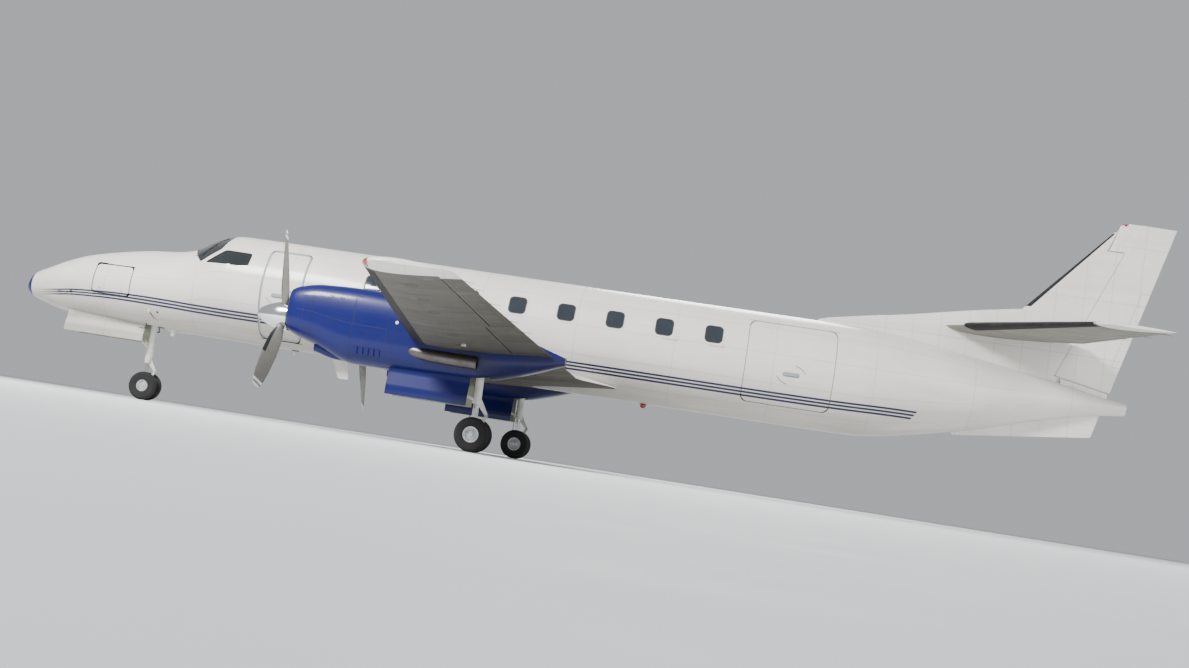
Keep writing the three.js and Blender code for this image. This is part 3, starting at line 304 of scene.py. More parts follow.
class Finish:
    """A node material while it is laid out."""

    def __init__(self, name, **sockets):
        self.material = bpy.data.materials.new(name)
        self.material.use_nodes = True
        self.tree = self.material.node_tree
        self.tree.nodes.clear()
        self.shader = self.node("ShaderNodeBsdfPrincipled")
        for key, value in sockets.items():
            self.shader.inputs[key.replace("_", " ")].default_value = value
        self.node("ShaderNodeOutputMaterial", {"Surface": self.shader.outputs[0]})
        self.place = self.node("ShaderNodeTexCoord").outputs["Object"]
        split = self.node("ShaderNodeSeparateXYZ", {"Vector": self.place})
        self.x, self.y, self.z = split.outputs

    def node(self, kind, inputs=None, **settings):
        return new_node(self.tree, kind, inputs, **settings)

    def math(self, operation, a, b=0.0, c=0.0):
        return self.node("ShaderNodeMath", {0: a, 1: b, 2: c}, operation=operation).outputs[0]

    def span(self, value, low, high, to_low=0.0, to_high=1.0):
        return self.node("ShaderNodeMapRange", {"Value": value, "From Min": low, "From Max": high,
                                                "To Min": to_low, "To Max": to_high}).outputs[0]

    def noise(self, scale, detail=3.0, stretch=(1, 1, 1), rough=0.55):
        place = self.node("ShaderNodeMapping", {"Vector": self.place, "Scale": stretch}).outputs[0]
        return self.node("ShaderNodeTexNoise", {"Vector": place, "Scale": scale, "Detail": detail,
                                                "Roughness": rough}).outputs["Fac"]

    def blend(self, factor, a, b):
        def colour(v):
            return v if isinstance(v, bpy.types.NodeSocket) else (*v, 1.0)
        mix = self.node("ShaderNodeMix", {"Factor": factor, 6: colour(a), 7: colour(b)},
                        data_type="RGBA", blend_type="MIX")
        return mix.outputs[2]

    def times(self, a, b):
        return self.math("MULTIPLY", a, b)

    def minus(self, a, b):
        return self.math("SUBTRACT", a, b)

    def rivets(self, width, height):
        """Round heads in rows beside the sheet joints of the skin map."""
        skin = self.node("ShaderNodeUVMap", uv_map="skin").outputs[0]
        u, v, _ = self.node("ShaderNodeSeparateXYZ", {"Vector": skin}).outputs
        heads = None
        for across, along, step in ((u, v, width), (v, u, height)):
            off = self.minus(self.math("PINGPONG", across, step / 2), FROM_JOINT)
            run = self.minus(self.math("PINGPONG", along, RIVET_PITCH / 2), RIVET_PITCH / 4)
            squares = self.math("ADD", self.times(off, off), self.times(run, run))
            row = self.span(self.math("SQRT", squares), RIVET_RADIUS, RIVET_RADIUS * 0.6)
            heads = row if heads is None else self.math("MAXIMUM", heads, row)
        return heads

    def panels(self, width, height, seam):
        """Sheet joints on the skin map: (share of the seam, shade of each sheet)."""
        skin = self.node("ShaderNodeUVMap", uv_map="skin").outputs[0]
        brick = self.node("ShaderNodeTexBrick", {
            "Vector": skin, "Scale": 1.0, "Mortar Size": seam, "Mortar Smooth": 0.3,
            "Brick Width": width, "Row Height": height, "Color1": (0, 0, 0, 1),
            "Color2": (1, 1, 1, 1), "Mortar": (0.5, 0.5, 0.5, 1)}, offset=0.0)
        return brick.outputs["Fac"], brick.outputs["Color"]

    def dents(self, height, strength, distance=0.002):
        bump = self.node("ShaderNodeBump", {"Height": height, "Strength": strength,
                                            "Distance": distance})
        self.tree.links.new(bump.outputs[0], self.shader.inputs["Normal"])

    def feed(self, **sources):
        for key, source in sources.items():
            self.tree.links.new(source, self.shader.inputs[key.replace("_", " ")])
        return self.material


CREAM = (0.80, 0.775, 0.715)
NAVY = (0.005, 0.006, 0.045)
GRIME = (0.33, 0.31, 0.27)
# The middle stripe: (station, height). It runs down over the nose and then level.
STRIPE_LINE = [(0.0, -0.56), (0.35, -0.545), (0.67, -0.515), (1.3, -0.467), (1.93, -0.452),
               (2.56, -0.458), (3.2, -0.476), (3.83, -0.483), (4.65, -0.48), (9.5, -0.474),
               (12.8, -0.472), (14.6, -0.435), (LENGTH, -0.43)]
STRIPE_LOW, STRIPE_HIGH = -0.6, -0.4
STRIPES_END = 14.39
STRIPE_HALF = 0.31  # half a stripe's width, as a share of the stripes' pitch


def worn_paint(name, colour, rough=0.35, coat=0.3, sheet=(1.1, 0.55), grime=GRIME, dirt=0.35,
               seam=0.0025, overlay=None, seam_tone=0.45, shine=0.5):
    """Paint on sheet metal: faint joints, streaks along the airflow, tone from sheet to sheet."""
    f = Finish(name, Coat_Weight=coat, Coat_Roughness=0.12, Specular_IOR_Level=shine)
    seam_share, tone = f.panels(*sheet, seam)
    base = f.blend(f.span(f.noise(1.3, 4), 0.35, 0.7), colour, shaded(colour, 0.93))
    base = f.blend(f.times(tone, 0.07), base, shaded(colour, 0.8))
    streaks = f.noise(3.0, 6, (0.12, 1.6, 1.6), 0.65)
    base = f.blend(f.times(f.span(streaks, 0.5, 0.82), dirt), base, grime)
    if overlay:
        base = overlay(f, base)
    base = f.blend(f.times(seam_share, seam_tone), base, shaded(grime, 0.25))
    heads = f.rivets(*sheet)
    base = f.blend(f.times(heads, 0.16), base, shaded(grime, 0.4))
    fine = f.times(f.noise(60, 2), 0.05)
    f.dents(f.math("ADD", fine, f.minus(heads, seam_share)), 0.35)
    roughness = f.math("ADD", f.span(streaks, 0.35, 0.8, rough, rough + 0.2), fine)
    return f.feed(Base_Color=base, Roughness=roughness)


def stripe_height(f):
    """The height of the middle stripe at each station, in the shared frame."""
    share = f.times(f.math("ADD", f.x, LENGTH / 2), 1 / LENGTH)
    curve = f.node("ShaderNodeFloatCurve", {"Value": share})
    points = curve.mapping.curves[0].points
    span = STRIPE_HIGH - STRIPE_LOW
    places = [(station / LENGTH, (z - STRIPE_LOW) / span) for station, z in STRIPE_LINE]
    points[0].location, points[-1].location = places[0], places[-1]
    for place in places[1:-1]:
        points.new(*place)
    curve.mapping.update()
    return f.math("MULTIPLY_ADD", curve.outputs[0], span, STRIPE_LOW + AXIS_HEIGHT)


def cabin_stripes(f, base):
    """Painted shade and grime darken the belly, and three thin navy stripes fade in at the nose and
    end aft on a slant.
    """
    stains = f.span(f.noise(1.1, 5, (0.35, 1.5, 1.5)), 0.2, 0.65, 0.45, 1)
    # The belly darkens downwards: painted shade of the lower side, mixed with patchy grime.
    belly_shade_and_grime = f.times(f.span(f.z, 1.85, 1.2), stains)
    base = f.blend(f.times(belly_shade_and_grime, 0.8), base, (0.27, 0.25, 0.205))
    pitch = f.span(f.x, frame_x(0.3), frame_x(2.3), 0.032, 0.0485)
    count = f.math("DIVIDE", f.minus(f.z, stripe_height(f)), pitch)
    off = f.math("ABSOLUTE", f.minus(count, f.math("ROUND", count)))
    inside = f.times(f.math("LESS_THAN", off, STRIPE_HALF),
                     f.math("LESS_THAN", f.math("ABSOLUTE", count), 1.4))
    fade = f.span(f.x, frame_x(0.18), frame_x(0.75))
    end = f.math("LESS_THAN", f.math("MULTIPLY_ADD", count, -0.03, f.x), frame_x(STRIPES_END))
    on_side = f.math("GREATER_THAN", f.math("ABSOLUTE", f.y), 0.12)
    return f.blend(f.times(f.times(inside, fade), f.times(end, on_side)), base, NAVY)


def exhaust_soot(f, base):
    """Soot where the exhaust runs back along the nacelle's tail."""
    back = f.times(f.span(f.x, frame_x(7.3), frame_x(8.6)), f.span(f.z, 1.75, 1.2))
    soot = f.times(back, f.span(f.noise(2.2, 5, (0.5, 2, 2)), 0.3, 0.65))
    return f.blend(f.times(soot, 0.8), base, (0.02, 0.018, 0.016))


def underside_paint_and_shade(under_colour_with_shade, stained, patches):
    """An overlay for the worn underside of a wing or tailplane: darker paint with painted shade,
    grime and patches, and cream wing roots.
    """
    def shade(f, base):
        low, off_axis = under_colour_with_shade, f.math("ABSOLUTE", f.y)
        for noise, start, end, share, tone in (
                ((1.6, 6, (0.4, 2.2, 2.2), 0.7), 0.35, 0.75, 0.6, stained),
                ((7, 3, (0.6, 1, 1)), 0.64, 0.72, 0.3, patches),
                ((16, 3, (0.07, 1, 1)), 0.60, 0.74, 0.5, shaded(stained, 0.5))):
            low = f.blend(f.times(f.span(f.noise(*noise), start, end), share), low, tone)
        # Faces that look down take the underside colour, whose darkness is partly the paint and
        # partly painted shade.
        under = f.node("ShaderNodeAttribute", attribute_name="under").outputs["Fac"]
        base = f.blend(under, base, low)
        soot = f.times(f.span(f.x, frame_x(8.2), frame_x(9.2)),
                       f.span(f.math("ABSOLUTE", f.minus(off_axis, 2.6)), 0.55, 0.1))
        base = f.blend(f.times(soot, 0.5), base, (0.03, 0.028, 0.026))
        root = f.times(f.math("LESS_THAN", f.x, frame_x(6.93)), f.math("LESS_THAN", off_axis, 0.98))
        return f.blend(root, base, CREAM)
    return shade


def plain_finish(name, colour, rough, metal=0.0, scale=40, wear=None, wear_share=0.3,
                 bump=0.1, **sockets):
    """A finish with grain and patches of wear."""
    f = Finish(name, Metallic=metal, **sockets)
    patch = f.span(f.noise(scale * 0.12, 5), 0.45, 0.72)
    base = f.blend(f.times(patch, wear_share), colour, wear or shaded(colour, 0.7))
    grain = f.noise(scale, 3)
    f.dents(grain, bump, 0.001)
    return f.feed(Base_Color=base,
                  Roughness=f.span(grain, 0.3, 0.7, rough * 0.85, min(1, rough * 1.2)))


def blade_finish():
    """Grey blades with a dark leading boot inboard and pale bands at the tip."""
    f = Finish("blade_grey", Metallic=0.25)
    skin = f.node("ShaderNodeUVMap", uv_map="skin").outputs[0]
    chord, reach, _ = f.node("ShaderNodeSeparateXYZ", {"Vector": skin}).outputs
    worn = f.span(f.noise(14, 5), 0.4, 0.75)
    base = f.blend(f.times(worn, 0.4), (0.20, 0.192, 0.168), (0.12, 0.115, 0.10))
    band = f.math("MAXIMUM", f.math("GREATER_THAN", reach, 1.25),
                  f.math("COMPARE", reach, 1.2, 0.022))
    base = f.blend(band, base, (0.8, 0.79, 0.75))
    boot = f.times(f.math("GREATER_THAN", chord, 0.27), f.math("COMPARE", reach, 0.48, 0.24))
    base = f.blend(boot, base, (0.02, 0.02, 0.022))
    f.dents(f.noise(90, 2), 0.08, 0.0005)
    return f.feed(Base_Color=base, Roughness=f.span(worn, 0, 1, 0.42, 0.6))


def tyre_finish():
    f = Finish("tyre_rubber", Specular_IOR_Level=0.25)
    dust = f.span(f.noise(6, 5), 0.4, 0.8)
    base = f.blend(f.times(dust, 0.4), (0.016, 0.016, 0.017), (0.055, 0.05, 0.043))
    f.dents(f.noise(160, 3), 0.3, 0.0008)
    return f.feed(Base_Color=base, Roughness=f.span(dust, 0, 1, 0.72, 0.92))


def ribbed_rubber():
    """De-icing boots: black rubber with faint tubes along the span."""
    f = Finish("boot_rubber", Specular_IOR_Level=0.2)
    wave = f.node("ShaderNodeTexWave", {"Vector": f.place, "Scale": 9.0, "Distortion": 0.4},
                  bands_direction="X")
    dust = f.span(f.noise(5, 5, (1, 0.4, 1)), 0.45, 0.8)
    base = f.blend(f.times(dust, 0.35), (0.016, 0.016, 0.018), (0.09, 0.085, 0.075))
    f.dents(wave.outputs["Fac"], 0.25, 0.002)
    return f.feed(Base_Color=base, Roughness=f.span(dust, 0, 1, 0.6, 0.8))


def turned_metal(name, colour, rough, rings=90.0, stain=None):
    """Spun or drawn metal with fine rings along the part's X axis."""
    f = Finish(name, Metallic=1.0)
    wave = f.node("ShaderNodeTexWave", {"Vector": f.place, "Scale": rings, "Distortion": 0.6,
                                        "Detail": 2.0}, bands_direction="X")
    patch = f.span(f.noise(7, 4), 0.45, 0.75)
    base = f.blend(f.times(patch, 0.35), colour, stain or shaded(colour, 0.72))
    f.dents(wave.outputs["Fac"], 0.03, 0.0004)
    return f.feed(Base_Color=base, Roughness=f.span(patch, 0, 1, rough, rough + 0.14))


def glazing(name, colour, rough, weight):
    f = Finish(name, Transmission_Weight=weight, IOR=1.45, Coat_Weight=0.5, Coat_Roughness=0.03)
    smear = f.span(f.noise(4, 4), 0.4, 0.8)
    base = f.blend(f.times(smear, 0.3), colour, [min(1, c * 1.7 + 0.01) for c in colour])
    f.dents(f.noise(12, 2), 0.02, 0.001)
    return f.feed(Base_Color=base, Roughness=f.span(smear, 0, 1, rough, rough + 0.1))


def cloth(name, colour, thread=420.0):
    f = Finish(name, Sheen_Weight=0.3, Sheen_Roughness=0.5)
    weave = f.node("ShaderNodeTexChecker", {
        "Vector": f.place, "Scale": thread,
        "Color1": (1, 1, 1, 1), "Color2": (0, 0, 0, 1)}).outputs["Fac"]
    patch = f.span(f.noise(9, 4), 0.35, 0.75)
    base = f.blend(f.times(patch, 0.35), colour, shaded(colour, 0.6))
    f.dents(weave, 0.25, 0.0006)
    return f.feed(Base_Color=base, Roughness=f.span(patch, 0, 1, 0.85, 0.97))


skin_white = worn_paint("cabin_white", CREAM, overlay=cabin_stripes, sheet=(1.524, 0.45), dirt=0.22)
tail_white = worn_paint("tail_white", CREAM, sheet=(0.9, 0.42), dirt=0.3)
nacelle_blue = worn_paint("nacelle_blue", (0.0012, 0.0045, 0.105), rough=0.3, coat=0.28, shine=0.3,
                          sheet=(0.62, 5.0), dirt=0.12, grime=(0.02, 0.023, 0.06),
                          overlay=exhaust_soot, seam=0.0035, seam_tone=0.9)
# The first underside colour of each is darker grey paint darkened further as painted shade; the
# next two are stains and patches.
wing_grey = worn_paint("wing_grey", (0.60, 0.60, 0.575), rough=0.5, coat=0.0, shine=0.22,
                       sheet=(0.8, 0.5), dirt=0.4, seam=0.004, seam_tone=0.8,
                       overlay=underside_paint_and_shade((0.115, 0.108, 0.09), (0.055, 0.05, 0.04),
                                           (0.24, 0.23, 0.2)))
tail_grey = worn_paint("tailplane_grey", (0.62, 0.61, 0.57), rough=0.5, coat=0.0, shine=0.25,
                       sheet=(0.6, 0.4), dirt=0.35, seam=0.003, seam_tone=0.6,
                       overlay=underside_paint_and_shade((0.27, 0.265, 0.235), (0.15, 0.145, 0.12),
                                           (0.4, 0.39, 0.35)))
boots = ribbed_rubber()
blade_grey = blade_finish()
spun_metal = turned_metal("spun_metal", (0.86, 0.87, 0.88), 0.12)
burnt_metal = turned_metal("burnt_metal", (0.15, 0.135, 0.125), 0.42, 30, (0.035, 0.03, 0.027))
chromed = plain_finish("chromed_rod", (0.85, 0.86, 0.87), 0.08, 1.0, 60, bump=0.02)
bare_metal = plain_finish("bare_metal", (0.55, 0.56, 0.57), 0.38, 1.0, 60, (0.3, 0.29, 0.27))
leg_white = plain_finish("leg_white", (0.74, 0.73, 0.68), 0.36, 0.0, 30, (0.3, 0.27, 0.22), 0.5,
                         Coat_Weight=0.3)
well_green = plain_finish("well_primer", (0.33, 0.35, 0.25), 0.6, 0.0, 30, (0.12, 0.11, 0.09), 0.6)
dark_trim = plain_finish("dark_trim", (0.03, 0.03, 0.032), 0.5, 0.0, 50)
seal_grey = plain_finish("door_seal", (0.33, 0.36, 0.38), 0.6, 0.0, 50)
lining_grey = plain_finish("cabin_lining", (0.56, 0.54, 0.49), 0.8, 0.0, 50)
carpet = cloth("carpet", (0.10, 0.11, 0.13), 260)
seat_cloth = cloth("seat_cloth", (0.05, 0.07, 0.13))
rubber = tyre_finish()
wheel_silver = plain_finish("wheel_silver", (0.66, 0.67, 0.68), 0.34, 0.8, 40,
                            (0.35, 0.33, 0.3), 0.4)
window_glass = glazing("window_glass", (0.055, 0.07, 0.088), 0.06, 0.6)
cockpit_glass = glazing("cockpit_glass", (0.10, 0.115, 0.125), 0.02, 0.85)
clear_lens = glazing("clear_lens", (0.8, 0.82, 0.84), 0.05, 0.9)
red_lens = glazing("red_lens", (0.55, 0.02, 0.015), 0.08, 0.6)
green_lens = glazing("green_lens", (0.01, 0.32, 0.10), 0.08, 0.6)
mark_red = plain_finish("mark_red", (0.55, 0.05, 0.04), 0.5, 0.0, 50)
white_trim = plain_finish("white_trim", (0.78, 0.76, 0.70), 0.4, 0.0, 40)


# Geometry Nodes: pieces that follow lines, and pieces that repeat

def tree_of(name, sockets):
    tree = bpy.data.node_groups.new(name, "GeometryNodeTree")
    tree.interface.new_socket("Guide", in_out="INPUT", socket_type="NodeSocketGeometry")
    for label, kind, default in sockets:
        socket = tree.interface.new_socket(label, in_out="INPUT", socket_type="NodeSocket" + kind)
        if default is not None:
            socket.default_value = default
    tree.interface.new_socket("Made", in_out="OUTPUT", socket_type="NodeSocketGeometry")
    return tree, tree.nodes.new("NodeGroupInput").outputs, tree.nodes.new("NodeGroupOutput").inputs


def named(tree, name, kind):
    return new_node(tree, "GeometryNodeInputNamedAttribute", {"Name": name},
                    data_type=kind).outputs[0]


def close_tree(tree, given, out, geometry):
    real = new_node(tree, "GeometryNodeRealizeInstances", {"Geometry": geometry})
    painted = new_node(tree, "GeometryNodeSetMaterial", {"Geometry": real.outputs[0],
                                                         "Material": given["Material"]})
    tree.links.new(painted.outputs[0], out[0])
    return tree


def tube_tree():
    """Round tubes along guide lines, as thick as the guide's points say."""
    tree, given, out = tree_of("tubes_along_lines", [("Sides", "Int", 12),
                                                     ("Material", "Material", None)])
    curve = new_node(tree, "GeometryNodeMeshToCurve", {"Mesh": given["Guide"]})
    ring = new_node(tree, "GeometryNodeCurvePrimitiveCircle", {"Resolution": given["Sides"],
                                                               "Radius": 1.0})
    tube = new_node(tree, "GeometryNodeCurveToMesh", {
        "Curve": curve.outputs[0], "Profile Curve": ring.outputs[0],
        "Scale": named(tree, "thick", "FLOAT"), "Fill Caps": True})
    return close_tree(tree, given, out, tube.outputs[0])


def repeat_tree():
    """A pattern repeated on the guide's points, standing along "out" and lying along "lie"."""
    tree, given, out = tree_of("repeat_on_points", [("Pattern", "Object", None),
                                                    ("Size", "Float", 1.0),
                                                    ("Material", "Material", None)])
    turn = new_node(tree, "FunctionNodeAxesToRotation", {
        "Primary Axis": named(tree, "out", "FLOAT_VECTOR"),
        "Secondary Axis": named(tree, "lie", "FLOAT_VECTOR")}, primary_axis="Z", secondary_axis="X")
    pattern = new_node(tree, "GeometryNodeObjectInfo", {"Object": given["Pattern"]})
    size = new_node(tree, "ShaderNodeCombineXYZ", {i: given["Size"] for i in range(3)})
    placed = new_node(tree, "GeometryNodeInstanceOnPoints", {
        "Points": given["Guide"], "Instance": pattern.outputs["Geometry"],
        "Rotation": turn.outputs[0], "Scale": size.outputs[0]})
    return close_tree(tree, given, out, placed.outputs[0])


TUBES = tube_tree()
ON_POINTS = repeat_tree()


def grown(name, tree, guide, **values):
    """Runs a tree on a guide mesh and keeps the result as a plain piece."""
    piece = bpy.data.objects.new(name, guide)
    bpy.context.scene.collection.objects.link(piece)
    modifier = piece.modifiers.new("grow", "NODES")
    modifier.node_group = tree
    for item in tree.interface.items_tree:
        if item.item_type == "SOCKET" and item.in_out == "INPUT" and item.name in values:
            modifier[item.identifier] = values[item.name]
    return settle(piece)


def guide_of(points, pairs, attributes):
    """A guide mesh of points and edges: attributes maps a name to one value per point."""
    mesh = bpy.data.meshes.new("guide")
    mesh.from_pydata(np.asarray(points, float).tolist(), pairs, [])
    for name, values in attributes.items():
        values = np.asarray(values, np.float32)
        kind, field = ("FLOAT", "value") if values.ndim == 1 else ("FLOAT_VECTOR", "vector")
        mesh.attributes.new(name, kind, "POINT").data.foreach_set(field, values.ravel())
    return mesh


def tubes(name, rows, material, sides=12):
    """Tubes from rows of (points, radius or radii)."""
    points, pairs, thick = [], [], []
    for line, radius in rows:
        pairs += [(len(points) + i, len(points) + i + 1) for i in range(len(line) - 1)]
        points += list(line)
        thick += list(np.broadcast_to(np.asarray(radius, float), len(line)))
    guide = guide_of(points, pairs, {"thick": thick})
    return grown(name, TUBES, guide, Sides=sides, Material=material)


def draw_lines(name, lines, body="airframe"):
    """Thin dark lines drawn on the skin."""
    drawn = tubes(name, [(line, LINE) for line in lines], dark_trim, 5)
    return fit(drawn, body=body)


def repeated(name, pattern, places, material, size=1.0):
    """A pattern piece at places of (point, out, lie)."""
    points, out, lie = zip(*places)
    return grown(name, ON_POINTS, guide_of(points, [], {"out": out, "lie": lie}),
                 Pattern=pattern, Size=size, Material=material)


# Fuselage

# Rows of (station, height of the centre, radius)
body_line = eased([
    (0, -.463, .030), (.04, -.440, .112), (.12, -.417, .195), (.35, -.394, .297),
    (.65, -.356, .411), (1.0, -.306, .496), (1.5, -.256, .567), (2.0, -.224, .626),
    (2.5, -.200, .659), (2.78, -.160, .690), (3.0, -.098, .750), (3.25, -.034, .816),
    (3.5, 0, .849), (4.0, 0, .855), (12.9, 0, .855), (13.5, 0, .845), (14.0, .010, .800),
    (14.5, .030, .718), (15.0, .050, .622), (15.5, .080, .525), (16.1, .128, .383),
    (16.7, .165, .255), (17.2, .172, .150), (17.62, .172, .092)])
BODY_SIDES = 128
CABIN_RADIUS = .855
WALL = .06
NOSE_WALL = .025
BESIDE = 1.2  # a distance from the centre plane that is well outside the skin


def body_ring(station, grow=0.0, sides=BODY_SIDES):
    (centre, radius), = body_line(station)
    a = np.arange(sides) * 2 * math.pi / sides
    return at(station, (radius + grow) * np.cos(a), centre + (radius + grow) * np.sin(a))


def body_shape(start, end, grow=0.0, step=.08, sides=BODY_SIDES):
    """The fuselage between two stations, grown or shrunk."""
    count = max(2, int((end - start) / step) + 1)
    return over_rings([body_ring(s, grow, sides) for s in np.linspace(start, end, count)])


def on_body(station, z, side=-1, lift=0.0):
    """A point on the skin at a height, and its outward direction."""
    (centre, radius), = body_line(station)
    angle = math.asin(max(-1, min(1, (z - centre) / radius)))
    out = np.array([0, side * math.cos(angle), math.sin(angle)])
    return at(station, 0, centre) + out * (radius + lift), out


def along_body(places, side=-1, lift=0.0):
    """Points on the skin from (station, height) places."""
    return [on_body(x, z, side, lift)[0] for x, z in places]


def skin_map(station, y, z):
    centre, _ = body_line(station).T
    return station, np.arctan2(z - centre, np.abs(y)) * CABIN_RADIUS + 3


def from_axis(station, y, z):
    """Distances from the fuselage's line, its radii and its centres there."""
    centre, radius = body_line(station).T
    return np.hypot(y, z - centre), radius, centre


def skin_layer(name, materials, span, low, high, keep, cuts=(), step=.03, low_step=None, past=.01):
    """A layer of the skin between two lifts, inside one shape and outside others."""
    start, end = span
    piece = made(name, body_shape(start, end, high, step), materials=materials)
    carve(piece, body_shape(start - past, end + past, low, low_step or step))
    carve(piece, keep, how="INTERSECT")
    return carve(piece, *cuts)


def span_of(outline, margin):
    xs = [x for x, _ in outline]
    return min(xs) - margin, max(xs) + margin


def door_outline(x0, x1, z0, z1, radius, gap=0.0):
    """A door's outline, or with a gap the hole that it closes."""
    return rounded(x0 - gap, x1 + gap, z0 - gap, z1 + gap, radius - 1.5 * gap)


# Doors: first and last station, lowest and highest edge, corner radius
AIRSTAIR = (4.16, 4.82, -.75, .635, .09)
CARGO = (11.77, 13.10, -.60, .64, .11)
NOSE_DOOR = (1.32, 1.96, -.43, .03, .06)
DOOR_GAP, NOSE_DOOR_GAP = .008, .014
# Hinge lines: direction, a point, and the radius and half length of the room round them
AIRSTAIR_HINGE = (AFT, (4.49, -.3916, -.754), .0135, .34)
CARGO_HINGE = ((-.999993, -.003835, 0), (12.435, -.55165, .644), .0115, .68)
NOSE_HINGE = ((-.98308, .183178, 0), (1.64, -.49867, .037), .0135, .34)

WINDSCREEN = softened([(2.80, .50), (3.06, .275), (3.35, .53), (3.42, .80),
                       (3.38, .83), (2.81, .52)], .035)
SIDE_WINDOW = softened([(3.15, .275), (3.88, .29), (3.885, .52), (3.44, .525)], .05)
WINDSCREEN_POST = .028  # half the post between the two windscreen panes
SIDE_WINDOW_IN = .3
WINDOW_Z = .322
WINDOW_STATIONS = [5.907 + .762 * i for i in range(8)]
WINDOW_OUTLINE = rounded(-.14, .14, -.15, .15, .075)
PANE_ROOM = .0006


def window_prisms(grow, low, high):
    """All cabin windows' outlines, grown, drawn through the skin from low to high."""
    outline = scaled_out(WINDOW_OUTLINE, grow) if grow else WINDOW_OUTLINE
    out = []
    for station in WINDOW_STATIONS:
        for _, side in SIDES:
            point, way = on_body(station, WINDOW_Z, side)
            up = np.array([0, -side * way[2], abs(way[1])])
            out.append(prism(outline, point, AFT, up, way, low, high))
    return together(*out)


def door_cuts(size, gap, reach, hinge):
    """A door's hole, and room round its hinge line, so that its edge clears the skin."""
    way, point, radius, half = hinge
    return [side_prism(door_outline(*size, gap), -reach, 0),
            rod(radius, -half, half, at(*point), way, 24)]


def cabin_faces(station, y, z, n):
    """Skin, lining inside, and dark edges round the openings ahead of the cargo door."""
    away, radius, centre = from_axis(station, y, z)
    lining = away < radius - WALL + .012
    outward = np.abs(n[:, 1] * y + n[:, 2] * (z - centre)) / np.maximum(away, 1e-6)
    edge = (outward < .55) & (np.abs(n[:, 0]) < .98) | (np.abs(n[:, 0]) > .6)
    dark = ~lining & edge & (away < radius - .0025) & (station < 11.6)
    return np.where(dark, 2, np.where(lining, 1, 0))


def nose_faces(station, y, z, n):
    away, radius, _ = from_axis(station, y, z)
    return np.where(away < radius - .004, 1, 0)


def hull_sections():
    baggage_bay = block(1.3, 1.98, -.47, .47, -.44, .06, .03)
    wheel_well = block(.84, 2.48, -.23, .23, -1.1, -.56, .02)
    door, room = door_cuts(NOSE_DOOR, NOSE_DOOR_GAP, .9, NOSE_HINGE)
    panes = ((WINDSCREEN, WINDSCREEN_POST), (SIDE_WINDOW, SIDE_WINDOW_IN))
    glass_holes = [side_prism(outline, *sorted((side * inner, side)))
                   for _, side in SIDES for outline, inner in panes]
    # Name, first and last station, first and last station of the hollow, cuts, faces
    rows = [
        ("nose", .1403, 2.70, None,
         [baggage_bay, wheel_well, door, mirrored(door), room, mirrored(room)], nose_faces),
        ("cockpit", 2.7003, 4.08, (2.76, 4.2), glass_holes, cabin_faces),
        ("cabin_front", 4.0803, 5.0, (4.0, 5.1),
         door_cuts(AIRSTAIR, DOOR_GAP, BESIDE, AIRSTAIR_HINGE), cabin_faces),
        ("cabin_mid", 5.0003, 11.6, (4.9, 11.7), [window_prisms(0, -.2, .05)], cabin_faces),
        ("cabin_rear", 11.6003, 13.16, (11.5, 13.3),
         door_cuts(CARGO, DOOR_GAP, BESIDE, CARGO_HINGE), cabin_faces),
        ("tail", 13.1603, 17.62, None, [], None),
    ]
    for name, start, end, hollow, cuts, faces in rows:
        piece = made(f"{name}_section_skin", body_shape(start, end),
                     materials=[skin_white, lining_grey if hollow else well_green, dark_trim])
        if hollow:
            carve(piece, body_shape(*hollow, -WALL, .2, 64))
        carve(piece, *cuts)
        lay_map(piece, skin_map)
        if faces:
            choose(piece, faces)
        fit(piece, [f"{name}_section"])
    add("nose_cap_cone", body_shape(0, .14, 0, .004), nacelle_blue, ["nose_cap"],
        plan=skin_map)


def cabin_windows():
    """Panes, light frames on the skin and dark seals in the holes, on both sides."""
    span = (WINDOW_STATIONS[0] - .3, WINDOW_STATIONS[-1] + .3)
    # Name, low and high lift, growth of the outline and of the hole in it, material, slot
    rows = [("panes", -.014, -.006, -PANE_ROOM, None, window_glass, "glass"),
            ("frames", CLEAR, .0022, .022, .001, white_trim, "white_paint"),
            ("seals", -.0058, -.004, -.0008, -.017, dark_trim, "panel_black")]
    for name, low, high, grow, hole, material, slot in rows:
        cuts = [] if hole is None else [window_prisms(hole, -.2, .1)]
        fit(skin_layer(f"cabin_window_{name}", [material], span, low, high,
                       window_prisms(grow, -.1, .05), cuts, step=3, past=.1))


def cockpit_windows():
    for label, side in SIDES:
        for name, outline, inner in (("windscreen", WINDSCREEN, WINDSCREEN_POST + .0004),
                                     ("side_window", SIDE_WINDOW, SIDE_WINDOW_IN)):
            low, high = sorted((side * inner, side))
            pane = skin_layer(f"{name}_{label}_pane", [cockpit_glass], (2.72, 4.06), -.02, -.006,
                              side_prism(scaled_out(outline, -PANE_ROOM), low, high))
            fit(pane, [f"{name}_{label}"])
            rim = skin_layer(f"{name}_{label}_frame", [white_trim], span_of(outline, .06),
                             .0002, .002, side_prism(scaled_out(outline, .013), low, high),
                             [side_prism(outline, low - .1, high + .1)], step=.04)
            fit(rim)


hull_sections()
cabin_windows()
cockpit_windows()


# Wings: spans run outboard on the port side, and starboard shapes are mirrored

wing_le = lambda y: 6.9 + .0741 * (y - .85)
wing_te = lambda y: 9.28 - .1452 * (y - .85)
wing_z = lambda y: -.68 + .0885 * (np.maximum(y, 0) - .8)
WING_THICK, TIP_THICK, THINS_FROM = .15, .145, 3.9
CAMBER = .012
TE_BLUNT = .0022
TIP_START, TIP_END = 6.79, 7.05
HINGE_GAP, END_GAP = .012, .018
# Moving surfaces: name, inboard and outboard end, hinge's share of the chord, body
WING_SURFACES = [("flap_inboard", 1.01, 1.87, .76, "flaps"),
                 ("flap_outboard", 2.71, 4.29, .76, "flaps"),
                 ("aileron", 4.40, 6.68, .805, "aileron")]
